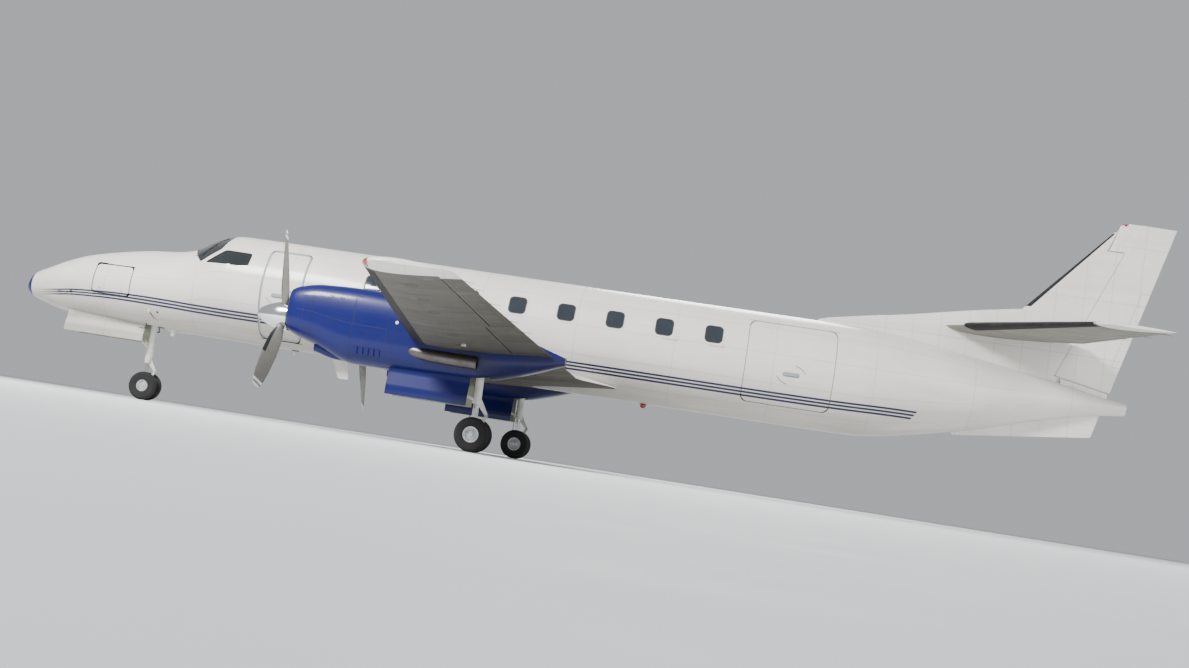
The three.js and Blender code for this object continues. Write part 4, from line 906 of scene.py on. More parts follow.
# Room under a flap's nose for its swing, as shares of the cove's radius: forward and down
LIP_ROOM = vec([(.6, 1.4), (-.3, 1.4), (-.3, .9), (.42, .86)])
CHORD = (1 - np.cos(np.linspace(0, math.pi, 34))) / 2
NOSE_ARC = np.radians(np.linspace(90, 270, 15))
WING_YS = np.concatenate([np.linspace(.00015, .93, 12), np.linspace(1.15, TIP_START, 26),
                          TIP_END - .26 * (1 - np.sin(np.linspace(.12, math.pi / 2, 9)))])
# Rows of (span, leading edge, trailing edge, thickness share), with the root fillet
wing_plan = eased([(.00015, 6.56, 9.90, .11), (.3, 6.575, 9.89, .11), (.56, 6.64, 9.86, .112)]
                  + [(y, wing_le(y), wing_te(y), thick) for y, thick in
                     ((.93, .15), (1.4, .15), (3.9, .15), (6.5, .1455), (6.79, .145))])


def half_thick(f, thick):
    """The half thickness of a four-digit section at a share of the chord."""
    return 5 * thick * (.2969 * np.sqrt(f) - .126 * f - .3516 * f ** 2 + .2843 * f ** 3
                        - .1036 * f ** 4) + TE_BLUNT * f


def camber_at(f, camber=CAMBER):
    return camber * 4 * f * (1 - f)


def wing_at(y):
    """Leading edge, trailing edge and thickness share; the tip is rounded in plan."""
    le, te, thick = wing_plan(min(y, TIP_START))[0]
    if y > TIP_START:
        u = (y - TIP_START) / (TIP_END - TIP_START)
        curve = 1 - math.sqrt(max(0, 1 - u * u * .9999))
        le, te = le + .30 * curve, wing_te(y) - .05 * curve
        thick = TIP_THICK * math.sqrt(max(0, 1 - u * u * .86))
    return le, te, thick


def wing_place(y):
    """Turns (station, height over the chord) into points at a span of the port wing."""
    return lambda x, h: at(x, -y, wing_z(y) + h)


def section(le, te, thick, camber, across):
    chord, low = te - le, CHORD[1:][::-1]
    return np.concatenate([
        across(le + CHORD * chord, (camber_at(CHORD, camber) + half_thick(CHORD, thick)) * chord),
        across(le + low * chord, (camber_at(low, camber) - half_thick(low, thick)) * chord)])


def wing_ring(y, grow=0.0):
    le, te, thick = wing_at(y)
    le, te, thick = le - grow, te + grow, thick + 2 * grow / (te - le)
    return section(le, te, thick, CAMBER, wing_place(y))


def wing_shape(ys, grow=0.0):
    return over_rings([wing_ring(y, grow) for y in ys])


def hinge_numbers(le, te, thick, camber, hinge):
    """Chord, radius at the hinge, height of the hinge and its station."""
    chord = te - le
    radius, middle = half_thick(hinge, thick) * chord, camber_at(hinge, camber) * chord
    return chord, radius, middle, le + hinge * chord


def hinged_ring(le, te, thick, camber, hinge, across):
    """Round nose on the hinge, the section's own tail behind it."""
    chord, radius, mid, hinge_at = hinge_numbers(le, te, thick, camber, hinge)
    nose = across(hinge_at + radius * np.cos(NOSE_ARC), mid + radius * np.sin(NOSE_ARC))
    f = np.linspace(hinge, 1, 8)[1:]
    low = across(le + f * chord, (camber_at(f, camber) - half_thick(f, thick)) * chord)
    f = f[::-1]
    top = across(le + f * chord, (camber_at(f, camber) + half_thick(f, thick)) * chord)
    return np.concatenate([nose, low, top])


def cove_ring(le, te, thick, camber, hinge, across):
    """The room of a moving surface, open behind."""
    _, radius, mid, hinge_at = hinge_numbers(le, te, thick, camber, hinge)
    radius += HINGE_GAP
    back = np.array([te + .06, te + .06])
    nose = across(hinge_at + radius * np.cos(NOSE_ARC), mid + radius * np.sin(NOSE_ARC))
    return np.concatenate([nose, across(back, np.array([mid - radius, mid + radius]))])


def surface_numbers(y):
    outboard = max(0, (y - THINS_FROM) / (TIP_START - THINS_FROM))
    thick = WING_THICK + (TIP_THICK - WING_THICK) * outboard
    return wing_le(y), wing_te(y), thick, CAMBER


def wing_surface(y0, y1, hinge):
    return over_rings([hinged_ring(*surface_numbers(y), hinge, wing_place(y))
                       for y in np.linspace(y0, y1, 10)])


def wing_cove(y0, y1, hinge):
    return over_rings([cove_ring(*surface_numbers(y), hinge, wing_place(y))
                       for y in (y0 - END_GAP, y1 + END_GAP)])


def flap_lip(y0, y1, hinge):
    rings = []
    for y in (y0 - END_GAP, y1 + END_GAP):
        _, radius, mid, hinge_at = hinge_numbers(*surface_numbers(y), hinge)
        forward, down = (LIP_ROOM * (radius + HINGE_GAP)).T
        rings.append(at(hinge_at - forward, -y, wing_z(y) + mid - down))
    return over_rings(rings)


def wing_pattern(piece):
    """The skin map of a wing, and which faces belong to the underside."""
    def plan(station, y, z):
        span = np.abs(y)
        under = z < wing_z(span) + CAMBER * 1.6
        return span, station - wing_le(span) + np.where(under, 10.0, 0.0)
    lay_map(piece, plan)
    # Faces that look down are marked, and get the dark underside colour with its painted shade.
    layer = piece.data.attributes.new("under", "FLOAT", "FACE")
    down = read(piece.data.polygons, "normal")[:, 2] < .02
    layer.data.foreach_set("value", down.astype(np.float32))
    return piece


def wing_faces(station, y, z, n):
    """White fillet behind the root and white tip cap, grey elsewhere."""
    span = np.abs(y)
    fillet = (span < .98) & (station > 9.28) & (n[:, 2] > -.75)
    return np.where(fillet | (span > 6.72), 1, 0)


def wings():
    for label, side in SIDES:
        piece = made(f"wing_{label}_skin", sided(wing_shape(WING_YS), side),
                     materials=[wing_grey, tail_white])
        coves = [wing_cove(y0, y1, hinge) for _, y0, y1, hinge, _ in WING_SURFACES]
        coves += [flap_lip(y0, y1, hinge) for name, y0, y1, hinge, _ in WING_SURFACES
                  if "flap" in name]
        carve(piece, body_shape(5.0, 11.0, CLEAR, .4), *[sided(cove, side) for cove in coves])
        choose(wing_pattern(piece), wing_faces)
        fit(piece, [f"wing_{label}"], angle=40)
        for name, y0, y1, hinge, body in WING_SURFACES:
            flap = made(f"{name}_{label}_skin", sided(wing_surface(y0, y1, hinge), side),
                        materials=[wing_grey])
            fit(wing_pattern(flap), [f"{name}_{label}"], f"{body}_{label}", 40)


wings()


# Nacelles: worked out on the port side

THRUST_Y, THRUST_Z = 2.285, -.505
THRUST_LINE = at(0, -THRUST_Y, THRUST_Z)
# Rows of (station, top, bottom, half width)
nacelle_line = eased([
    (5.205, -.108, -.682, .282), (5.215, -.095, -.695, .295), (5.24, -.078, -.712, .307),
    (5.30, -.05, -.745, .33), (5.63, .02, -.85, .36), (6.23, .045, -1.04, .375),
    (6.94, .015, -1.04, .375), (7.94, -.13, -1.02, .355), (8.6, -.30, -.86, .28),
    (9.23, -.50, -.62, .12)])
NACELLE_CORNER = .62  # 1 makes the section an ellipse, and less makes it squarer
NACELLE_STATIONS = np.concatenate([[5.205, 5.209, 5.215, 5.225, 5.24, 5.265],
                                   np.linspace(5.3, 9.23, 56)])
# Rows of (station, span, height) along the middle of the exhaust
exhaust_line = eased([(6.7, 2.43, -.64), (7.0, 2.545, -.735), (7.5, 2.64, -.78),
                      (8.05, 2.69, -.79)])
# Rows of (station, bottom, half width, corner)
scoop_line = eased([(5.64, -.945, .15, .150), (5.99, -1.015, .15, .150), (6.5, -1.01, .09, .09)])
INTAKE = rounded(-.15, .15, -.235, -.152, .04)
SCOOP_MOUTH = rounded(-.12, .12, -.927, -.872, .025)
COWL_JOINTS = (5.46, 6.20, 6.70)
HATCH_FRONT, HATCH_BACK = 5.80, 6.02
LATCH = rounded(-.032, .032, -.012, .012, .011, 4)
LOUVRE = [(-.035, 0), (.035, 0), (.02, .012), (-.028, .016)]
PIPE_SIDES = 28  # of the exhaust's section


def nacelle_shape(stations, shrink=0.0, sides=96):
    a = np.arange(sides) * 2 * math.pi / sides
    bulge = lambda v: np.sign(v) * np.abs(v) ** NACELLE_CORNER
    rings = []
    for station in stations:
        (top, bottom, half), = nacelle_line(station)
        rings.append(at(station, -THRUST_Y + (half - shrink) * bulge(np.cos(a)),
                        (top + bottom) / 2 + ((top - bottom) / 2 - shrink) * bulge(np.sin(a))))
    return over_rings(rings)


def exhaust_pipe(start, end, radius):
    a = np.arange(PIPE_SIDES) * 2 * math.pi / PIPE_SIDES
    ring = np.stack([np.zeros(PIPE_SIDES), radius * np.cos(a), radius * np.sin(a)], 1)
    xs = np.linspace(start, end, 16)
    y, z = exhaust_line(xs).T
    return over_rings([point + ring for point in at(xs, -y, z)])


def scoop_shape():
    rings = []
    for x in np.linspace(5.64, 6.5, 12):
        (low, half, _), = scoop_line(x)
        ys, zs = np.array(rounded(-half, half, low, -.80, min(.05, half * .6), 5)).T
        rings.append(at(x, -THRUST_Y + ys, zs))
    return over_rings(rings)


def nacelle_map(station, y, z):
    return station, np.arctan2(z + .5, np.abs(y) - THRUST_Y) * .37 + 3


def on_nacelle(station, degrees):
    """A point of the port nacelle at an angle above its outboard side, and the way out of it."""
    (top, bottom, half), = nacelle_line(station)
    tall = (top - bottom) / 2
    c, s = math.cos(math.radians(degrees)), math.sin(math.radians(degrees))
    power = lambda v, e: math.copysign(abs(v) ** e, v)
    out = np.array([0, -power(c, 2 - NACELLE_CORNER) / half, power(s, 2 - NACELLE_CORNER) / tall])
    spot = at(station, -THRUST_Y - half * power(c, NACELLE_CORNER),
              (top + bottom) / 2 + tall * power(s, NACELLE_CORNER))
    return spot, out / np.linalg.norm(out)


def nacelle_faces(station, y, z, n):
    """Blue skin, green inside, dark in the scoop's mouth and the front openings."""
    top, bottom, half = nacelle_line(station).T
    off = np.abs(np.abs(y) - THRUST_Y)
    tall = np.abs(z - (top + bottom) / 2) / ((top - bottom) / 2)
    deep = (off / half) ** (2 / NACELLE_CORNER) + tall ** (2 / NACELLE_CORNER) < .93
    scoop = (station < 6.5) & (station > 5.63) & (z < -.84) & (off < .16)
    front = (station < 5.23) & (n[:, 0] < -.3)
    mouth = scoop & (off < .121) & (z > -.93) & (z < -.86)
    green = deep & (station < 9.2) & ~scoop & ~front
    return np.where(mouth | front & (station > 5.21), 2, np.where(green, 1, 0))


def nacelles():
    centre = at(0, -THRUST_Y, 0)
    cuts = [prism(INTAKE, centre, ACROSS, UP, AFT, 5.15, 5.47),
            prism(SCOOP_MOUTH, centre, ACROSS, UP, AFT, 5.6, 5.8),
            rod(.212, 5.19, 5.235, THRUST_LINE, AFT), rod(.09, 5.1, 5.5, THRUST_LINE, AFT),
            block(6.76, 8.23, -THRUST_Y - .215, -THRUST_Y + .215, -1.2, -.60, .02),
            wing_shape(WING_YS[8:24], CLEAR), exhaust_pipe(6.95, 8.049, .0925)]

    def pipe_faces(station, y, z, n):
        mid_y, mid_z = exhaust_line(station).T
        return np.where((station > 7.55) & (np.hypot(np.abs(y) - mid_y, z - mid_z) < .088), 1, 0)

    for label, side in SIDES:
        cowl = made(f"nacelle_{label}_cowl", sided(nacelle_shape(NACELLE_STATIONS), side),
                    materials=[nacelle_blue, well_green, dark_trim])
        carve(cowl, sided(scoop_shape(), side), how="UNION")
        carve(cowl, *[sided(cut, side) for cut in
                      [nacelle_shape(np.linspace(5.42, 7.94, 20), .035, 64)] + cuts])
        choose(lay_map(cowl, nacelle_map), nacelle_faces)
        fit(cowl, [f"nacelle_{label}"], angle=38)

        ring = [at(5.204, side * THRUST_Y - side * y, z) for y, z in INTAKE + INTAKE[:1]]
        fit(tubes(f"intake_lip_{label}", [(ring, .008)], spun_metal, 8))
        engine = together(nacelle_shape(np.linspace(5.64, 6.74, 8), .075, 48),
                          rod(.06, 5.187, 5.72, THRUST_LINE, AFT, 24))
        add(f"engine_{label}_core", sided(engine, side), bare_metal,
            [f"engine_{label}"])
        pipe = made(f"exhaust_{label}", sided(exhaust_pipe(6.7, 8.05, .0918), side),
                    materials=[burnt_metal, dark_trim])
        carve(pipe, sided(exhaust_pipe(7.6, 8.08, .084), side))
        fit(choose(pipe, pipe_faces))


def cowl_fittings():
    """Joints, latches, louvres, an access hatch and a filler cap on each cowl."""
    latch = made("latch_pattern", prism(LATCH, (0, 0, 0), AFT, ACROSS, UP, 0, .004))
    louvre = made("louvre_pattern", prism(LOUVRE, (0, 0, 0), AFT, UP, ACROSS, -.05, .05))
    lines = [[(x, a) for a in np.linspace(-62, 242, 60)] for x in COWL_JOINTS]
    lines += [[(x, a) for x in np.linspace(5.25, COWL_JOINTS[-1], 14)] for a in (0, 180)]
    lines.append([(HATCH_FRONT, a) for a in range(12, 31, 3)]
                 + [(HATCH_BACK, a) for a in range(30, 11, -3)] + [(HATCH_FRONT, 12)])
    latches = [(x, a) for x in (5.62, 5.95, 6.36, 6.58) for a in (-4, 184)]
    latches += [(HATCH_FRONT + .04, 27), (HATCH_BACK - .04, 27)]
    latches += [(x + .05, a) for x in COWL_JOINTS[1:] for a in (40, 140)]
    louvres = [(x, a) for a in (-30, 210) for x in (6.30, 6.38, 6.46, 6.54, 6.62)]
    for label, side in SIDES:
        way = vec([1, -side, 1])
        place = lambda x, a: [v * way for v in on_nacelle(x, a)]
        rows = [([place(x, a)[0] for x, a in line], LINE) for line in lines]
        fit(tubes(f"cowl_joints_{label}", rows, dark_trim, 5))
        for name, pattern, spots in (("latches", latch, latches), ("louvres", louvre, louvres)):
            places = [(*place(x, a), AFT) for x, a in spots]
            piece = repeated(f"cowl_{name}_{label}", pattern, places, nacelle_blue)
            fit(lay_map(piece, nacelle_map))
        cap = turned([(0, -.01), (.024, -.01), (.024, .006), (.02, .009), (0, .009)],
                     *place(6.83, 5.1566), 20)
        add(f"filler_cap_{label}", cap, white_trim)
        ring = [at(5.637, side * THRUST_Y + y, z) for y, z in SCOOP_MOUTH + SCOOP_MOUTH[:1]]
        fit(tubes(f"scoop_lip_{label}", [(ring, .007)], spun_metal, 8))
    drop(latch, louvre)


nacelles()
cowl_fittings()


# Propellers

PROP_X = 5.098
PROP_PHASE = 26
# Rows of (radius, chord, thickness, twist)
blade_line = eased([(.10, .104, .104, 62), (.20, .106, .102, 62), (.26, .135, .078, 61),
                    (.42, .205, .044, 52), (.76, .245, .026, 40), (1.0, .235, .018, 34),
                    (1.15, .205, .014, 31), (1.25, .15, .010, 29.5), (1.285, .09, .007, 29),
                    (1.295, .03, .004, 29)])
BLADE_RADII = np.concatenate([np.linspace(.10, .42, 12), np.linspace(.46, 1.25, 22),
                              [1.268, 1.28, 1.29, 1.295]])
SHANK_END, SHANK_BLEND = .2, .22  # where the round shank starts to flatten, and over what length
# Rows of (offset from the hub, radius)
spinner_line = eased([(-.414, .001), (-.405, .026), (-.392, .048), (-.318, .108), (-.21, .160),
                      (-.09, .196), (.02, .207), (.075, .2065)])
SPINNER_OFFSETS = np.concatenate([[-.414, -.411, -.405, -.398], np.linspace(-.39, .075, 24)])


def blade_ring(r):
    phi = np.linspace(0, 2 * math.pi, 28, endpoint=False)
    (chord, thick, twist), = blade_line(r)
    t = math.radians(twist)
    flat = min(1, max(0, (r - SHANK_END) / SHANK_BLEND))
    wing = np.sin(phi) * np.where(np.sin(phi) > 0, .5, .3) * (1 + .35 * np.cos(phi)) / 1.05
    u, v = .5 * np.cos(phi), (1 - flat) * .5 * np.sin(phi) + flat * wing
    across = u * chord * math.cos(t) - v * thick * math.sin(t)
    along = -(u * chord * math.sin(t) + v * thick * math.cos(t))
    return np.stack([along, across, np.full_like(u, r)], 1)


def map_blade(blade):
    """A map of (share of the chord, radius) for the blade's boot and bands."""
    mesh = blade.data
    points = read(mesh.vertices, "co")
    chord, _, twist = blade_line(points[:, 2]).T
    t = np.radians(twist)
    u = (points[:, 1] * np.cos(t) - points[:, 0] * np.sin(t)) / chord
    index = np.array([loop.vertex_index for loop in mesh.loops])
    layer = mesh.uv_layers.new(name="skin")
    layer.data.foreach_set("uv", np.stack([u, points[:, 2]], 1)[index].ravel())


def propellers():
    blade = made("blade_pattern", over_rings([blade_ring(r) for r in BLADE_RADII]))
    map_blade(blade)
    profile = [(spinner_line(off)[0, 0], off) for off in SPINNER_OFFSETS] + [(.2, .082), (.0, .082)]

    def spinner_faces(station, y, z, n):
        away = np.hypot(np.abs(y) - THRUST_Y, z - THRUST_Z)
        return np.where(away < spinner_line(station - PROP_X)[:, 0] - .004, 1, 0)

    for label, side in SIDES:
        body = f"propeller_{label}"
        centre = at(PROP_X, side * THRUST_Y, THRUST_Z)
        if side > 0:
            blade.data.transform(Matrix.Scale(-1, 4, ACROSS))
            blade.data.flip_normals()
        turns = np.radians(PROP_PHASE + 120 * np.arange(3))
        places = [(centre, (0, side * math.sin(a), math.cos(a)), AFT) for a in turns]
        fit(repeated(f"{body}_blades", blade, places, blade_grey), [body], body, 50)
        hub = turned([(.0, -.058), (.13, -.058), (.13, .086), (.0, .086)], centre, AFT, 40)
        add(f"{body}_hub", hub, bare_metal, body=body)
        spinner = made(f"spinner_{label}_shell", turned(profile, centre, AFT, 72),
                       materials=[spun_metal, dark_trim])
        carve(spinner, rod(.131, -.06, .2, centre, AFT, 40),
              *[rod(.060, 0, .3, centre, out, 28) for _, out, _ in places])
        fit(choose(spinner, spinner_faces), [f"spinner_{label}"], body, 35)
    drop(blade)


propellers()


# Fin, rudder, tailplane and elevators

fin_le = lambda z: 15.9 + (z - 1.5) * (1.2 / 1.34)
rudder_hinge = lambda z: 16.45 + (z - .35) * (.89 / 2.18)
rudder_te = lambda z: 17.34 + (z - .31) * (.75 / 2.75)
rudder_foot = lambda x: .545 - .178 * (x - 16.5)
fin_half = lambda z: .080 + (.046 - .080) * (z - .3) / 2.76
tail_le = lambda y: 14.74 + .73 * y
tail_te = lambda y: 16.8 + .263 * y
FIN_BACK = .04  # how far the fin's section runs behind the rudder's hinge
FIN_TOP = 3.06
FIN_LOW = .42
HORN_Z, HORN_FRONT, HORN_SWEEP = 2.6, 17.08, .3957
BEACON_Z = FIN_TOP - .032
TAIL_END = 17.62
TAIL_Z, TAIL_THICK = 1.08, .09
ELEVATOR = (.15, 2.29)
ELEVATOR_HINGE = .765
RUDDER_PIN = .016
# The fin's half width from its front to its back, as shares
fin_shape = eased([(0, .06), (.012, .2), (.05, .42), (.2, .85), (.45, 1.1), (.75, 1.08), (1, 1)])
# The front of the dorsal fillet: (height, station)
dorsal_le = eased([(.42, 12.7), (.88, 12.82), (1.0, 13.3), (1.15, 14.12), (1.38, 15.2),
                   (1.5, 15.85)])
# The tailplane's tip: (span, how far its front moves back, thickness share)
TAIL_TIP = [(2.28, 0, .09), (2.33, .012, .085), (2.38, .045, .075), (2.41, .085, .063),
            (2.43, .13, .05)]


def fin_ring(le, te, half, z):
    steps = CHORD[::2]
    w = fin_shape(steps)[:, 0] * half
    x = le + steps * (te - le)
    return np.concatenate([at(x, w, z), at(x[::-1], -w[::-1], z)])


def rudder_shape(heights, grow=0.0):
    rings = []
    for z in heights:
        radius, x = fin_half(z) + grow, rudder_hinge(z)
        te, edge = (rudder_te(z) + .08, radius) if grow else (rudder_te(z), .005)
        arc = at(x + radius * np.cos(NOSE_ARC), radius * np.sin(NOSE_ARC), z)
        rings.append(np.concatenate([arc, at(vec([te, te]), vec([-edge, edge]), z)]))
    return over_rings(rings)


def below_rudder(lift):
    front, back = 16.0, 18.5
    top = [(x, rudder_foot(x) + lift) for x in (front, back)]
    return side_prism(top + [(back, -.2), (front, -.2)], -.3, .3)


def horn_shape(grow):
    """The rudder's horn balance, ahead of the hinge at the top of the fin."""
    rings = []
    for z, front, share in ((HORN_Z - grow, HORN_FRONT, 1),
                            (FIN_TOP + grow * 4, 17.262, 1 if grow else .75)):
        half = fin_half(z) * share + grow
        back = rudder_hinge(z) + .06
        x = [front - grow, front + .03, front + .12, back]
        y = [.006 + grow, half * .6, half, half]
        rings.append(at(vec(x + x[::-1]), vec(y + [-v for v in y[::-1]]), z))
    return over_rings(rings)


def rudder_room():
    """What the rudder needs of the fin, open right through round the horn."""
    room = made("rudder_room", rudder_shape((.3, FIN_TOP + .05), HINGE_GAP))
    carve(room, horn_shape(HINGE_GAP), how="UNION")
    front = lambda z: HORN_FRONT + (z - HORN_Z) * HORN_SWEEP - HINGE_GAP
    low, high = HORN_Z - END_GAP, FIN_TOP + .04
    cheeks = [(front(low), low), (front(high), high), (17.5, high), (17.5, low)]
    carve(room, side_prism(cheeks, -.2, .2), how="UNION")
    return carve(room, below_rudder(-.02))


def tail_ring(y, grow=0.0, back=0.0, thick=TAIL_THICK):
    le, te = tail_le(y) + back, tail_te(y)
    return section(le - grow, te + grow, thick + 2 * grow / (te - le), 0,
                   lambda x, h: at(x, y, TAIL_Z + h))


def tailplane_shape(grow=0.0):
    right = [tail_ring(y, grow) for y in np.linspace(0, 2.2, 12)]
    right += [tail_ring(y, grow, back, thick) for y, back, thick in TAIL_TIP]
    left = [ring * (1, -1, 1) for ring in right[:0:-1]]
    return over_rings(left + right)


def elevator_shape(ring, ys):
    return over_rings([ring(tail_le(y), tail_te(y), TAIL_THICK, 0, ELEVATOR_HINGE,
                            lambda x, h, y=y: at(x, -y, TAIL_Z + h)) for y in ys])


def fin_map(station, y, z):
    return z, station


def tail_map(station, y, z):
    return np.abs(y), station + np.where(z < TAIL_Z, 7.0, 0)


def fin_and_rudder():
    rings = []
    for z in np.concatenate([np.linspace(FIN_LOW, FIN_TOP - .04, 22), [FIN_TOP - .02, FIN_TOP]]):
        near_top = max(0, (z - (FIN_TOP - .16)) / .16)
        rings.append(fin_ring(fin_le(z) + .17 * near_top ** 2, rudder_hinge(z) + FIN_BACK,
                              fin_half(z) * (1 - .5 * near_top ** 3), z))
    fin = made("fin_skin", over_rings(rings), materials=[tail_white])
    dorsal = [fin_ring(dorsal_le(z)[0, 0], 16.3, .05, z) for z in np.linspace(FIN_LOW, 1.5, 24)]
    carve(fin, over_rings(dorsal), how="UNION")
    room = rudder_room()
    carve(fin, room, body_shape(12.7, TAIL_END, CLEAR, .1), tailplane_shape(CLEAR))
    drop(room)
    fit(lay_map(fin, fin_map), ["fin"], angle=40)

    rudder = made("rudder_skin", rudder_shape(np.linspace(.3, FIN_TOP, 20)), materials=[tail_white])
    carve(rudder, horn_shape(0), how="UNION")
    carve(rudder, block(17.2, 17.365, -.1, .1, BEACON_Z, FIN_TOP + .05), below_rudder(0))
    fit(lay_map(rudder, fin_map), ["rudder"], "rudder", 40)

    rings = []
    for x, w in ((16.60, .05), (16.9, .045), (17.2, .03), (17.33, .012)):
        top = rudder_foot(x) - .024
        rings.append(at(x, vec([-w, w, w * .8, -w * .8]), vec([.2, .2, top, top])))
    fairing = made("rudder_foot_fairing", over_rings(rings), materials=[tail_white])
    carve(fairing, body_shape(16.4, TAIL_END, CLEAR, .1),
          rod(RUDDER_PIN + .012, -.4, .4, at(rudder_hinge(.45), 0, .45), (.89, 0, 2.18), 24))
    fit(lay_map(fairing, fin_map))


def tailplane():
    # Faces that look down take the grey finish, whose underside colour carries painted shade.
    under = lambda station, y, z, n: np.where((n[:, 2] < -.02) & (np.abs(y) < 2.3), 1, 0)
    plane = made("tailplane_skin", tailplane_shape(), materials=[tail_white, tail_grey])
    coves = elevator_shape(cove_ring, (ELEVATOR[0] - END_GAP, ELEVATOR[1] + END_GAP))
    carve(plane, coves, mirrored(coves), block(16.42, 17.2, -.16, .16, .88, 1.28))
    rows = [(plane, "tailplane", "airframe")]
    for label, side in SIDES:
        shape = elevator_shape(hinged_ring, np.linspace(*ELEVATOR, 12))
        piece = made(f"elevator_{label}_skin", sided(shape, side),
                     materials=[tail_white, tail_grey])
        rows.append((piece, f"elevator_{label}", f"elevator_{label}"))
    for piece, node, body in rows:
        choose(lay_map(wing_pattern(piece), tail_map), under)
        fit(piece, [node], body, 40)


fin_and_rudder()
tailplane()


# Doors

def door_faces(wall):
    """Skin outside, lining inside a wall of this thickness."""
    def pick(station, y, z, n):
        away, radius, _ = from_axis(station, y, z)
        return np.where(away < radius - wall + .004, 1, 0)
    return pick


def corner_relief(x0, x1, z0, z1):
    """What is thinned off inside a door's two hinged corners, so that they clear the hole."""
    shell = made("relief", body_shape(x0 - .01, x1 + .01, -.010, .05))
    corners = together(block(x0 - .01, x0 + .13, -1, 0, z0, z1),
                       block(x1 - .13, x1 + .01, -1, 0, z0, z1))
    return carve(shell, corners, how="INTERSECT")


def skin_disc(name, station, z, radius, high, material, side, body="airframe", steps=28):
    """A small round fitting that stands on the skin."""
    edge = min(.003, high * .4)
    profile = [(0, CLEAR), (radius, CLEAR), (radius, high - edge), (radius - edge, high), (0, high)]
    add(name, turned(profile, *on_body(station, z, side), steps), material, body=body)


def door_handle(door, station, z):
    """A long plate with its grip, between two arcs that show its way of turning."""
    for name, wide, high, lift, material in (("plate", .26, .07, .0022, seal_grey),
                                             ("grip", .21, .03, .016, bare_metal)):
        outline = rounded(station - wide / 2, station + wide / 2,
                          z - high / 2, z + high / 2, high * .45)
        fit(skin_layer(f"{door}_handle_{name}", [material], (station - .2, station + .2),
                       CLEAR, lift, side_prism(outline, -BESIDE, 0)), body=door)
    arcs = []
    for start in (15, 195):
        turns = np.radians(np.linspace(start, start + 62, 12))
        places = [(station + .215 * math.cos(a), z + .145 * math.sin(a)) for a in turns]
        arcs.append((along_body(places, lift=.0012), .004))
    fit(tubes(f"{door}_turn_marks", arcs, dark_trim, 6), body=door)


def cabin_door(name, size, span, hinged_edge, handle_at):
    panel = skin_layer(f"{name}_skin", [skin_white, lining_grey], span, -WALL, 0,
                       side_prism(door_outline(*size), -BESIDE, 0), low_step=.05)
    relief = corner_relief(*size[:2], *hinged_edge)
    carve(panel, relief)
    drop(relief)
    choose(lay_map(panel, skin_map), door_faces(WALL))
    fit(panel, [name], name)
    door_handle(name, *handle_at)


def stairs():
    """Seal, steps, grips and side arms of the passenger door."""
    outline = door_outline(*AIRSTAIR)
    seal = skin_layer("passenger_door_seal", [seal_grey], span_of(outline, .03), .0002, .0016,
                      side_prism(scaled_out(outline, -.0004), -BESIDE, -.15),
                      [side_prism(scaled_out(outline, -.026), -1.3, -.1)])
    fit(seal, body="passenger_door")
    treads, grips = [], []
    for z in (-.5, -.22, .06, .34):
        inside_y = -math.sqrt((CABIN_RADIUS - WALL) ** 2 - z ** 2)
        treads += [block(4.26, 4.72, inside_y - .01, inside_y + .205, z, z + .018, .004),
                   block(4.26, 4.72, inside_y + .19, inside_y + .21, z - .012, z + .022, .006)]
        for y in inside_y + .03 + .018 * np.arange(9):
            grips.append(block(4.28, 4.70, y, y + .006, z + .0185, z + .0225))
    arm = [(-.41, -.66), (-.47, -.62), (-.55, -.42), (-.65, .4), (-.62, .45), (-.58, .42),
           (-.42, -.3)]
    fore, aft = (prism(arm, at(0, 0, 0), ACROSS, UP, AFT, x, x + .012) for x in (4.245, 4.725))
    for name, shape, material, slot in (
            ("stair_treads", together(*treads), bare_metal, "grey_paint"),
            ("stair_grip", together(*grips), dark_trim, "panel_black"),
            ("stair_side_fore", fore, bare_metal, "grey_paint"),
            ("stair_side_aft", aft, bare_metal, "grey_paint")):
        add(name, shape, material, body="passenger_door")


def nose_door(label, side):
    name = f"nose_door_{label}"
    hole = sided(side_prism(door_outline(*NOSE_DOOR), -BESIDE, 0), side)
    panel = skin_layer(f"{name}_skin", [skin_white, well_green], (1.25, 2.05), -NOSE_WALL, 0, hole,
                       low_step=.04)
    choose(lay_map(panel, skin_map), door_faces(NOSE_WALL))
    fit(panel, [name], name)
    for i, station in enumerate((1.45, 1.83)):
        skin_disc(f"{name}_latch_{i + 1}", station, -.36, .016, .004, bare_metal, side, name)


cabin_door("passenger_door", AIRSTAIR, (4.09, 4.9), (-.76, -.52), (4.475, -.1))
stairs()
cabin_door("cargo_door", CARGO, (11.7, 13.159), (.41, .65), (12.47, -.13))
for door_label, door_side in SIDES:
    nose_door(door_label, door_side)


# Landing gear

MAIN_X, MAIN_Z = 8.09, -1.7725
NOSE_X, NOSE_Z, STEER_X = 2.262, -1.7915, 2.232
DRAG_X = 6.99
MAIN_WHEEL = dict(radius=.2475, width=.170, rim=.112, spacing=.300, axle=.030)
NOSE_WHEEL = dict(radius=.2285, width=.112, rim=.092, spacing=.190, axle=.022)
# Profiles in shares of the rim's radius and of the wheel's half width
RIM = [(.0, -.40), (.30, -.40), (.34, -.26), (.62, -.22), (.78, -.50), (.88, -.76), (1.0, -.76),
       (1.0, .76), (.88, .76), (.80, .56), (.62, .22), (.34, .30), (.30, .42), (.0, .42)]
HUB_CAP = [(0, .42), (.26, .42), (.26, .60), (.20, .68), (0, .70)]
BOLTS = 9


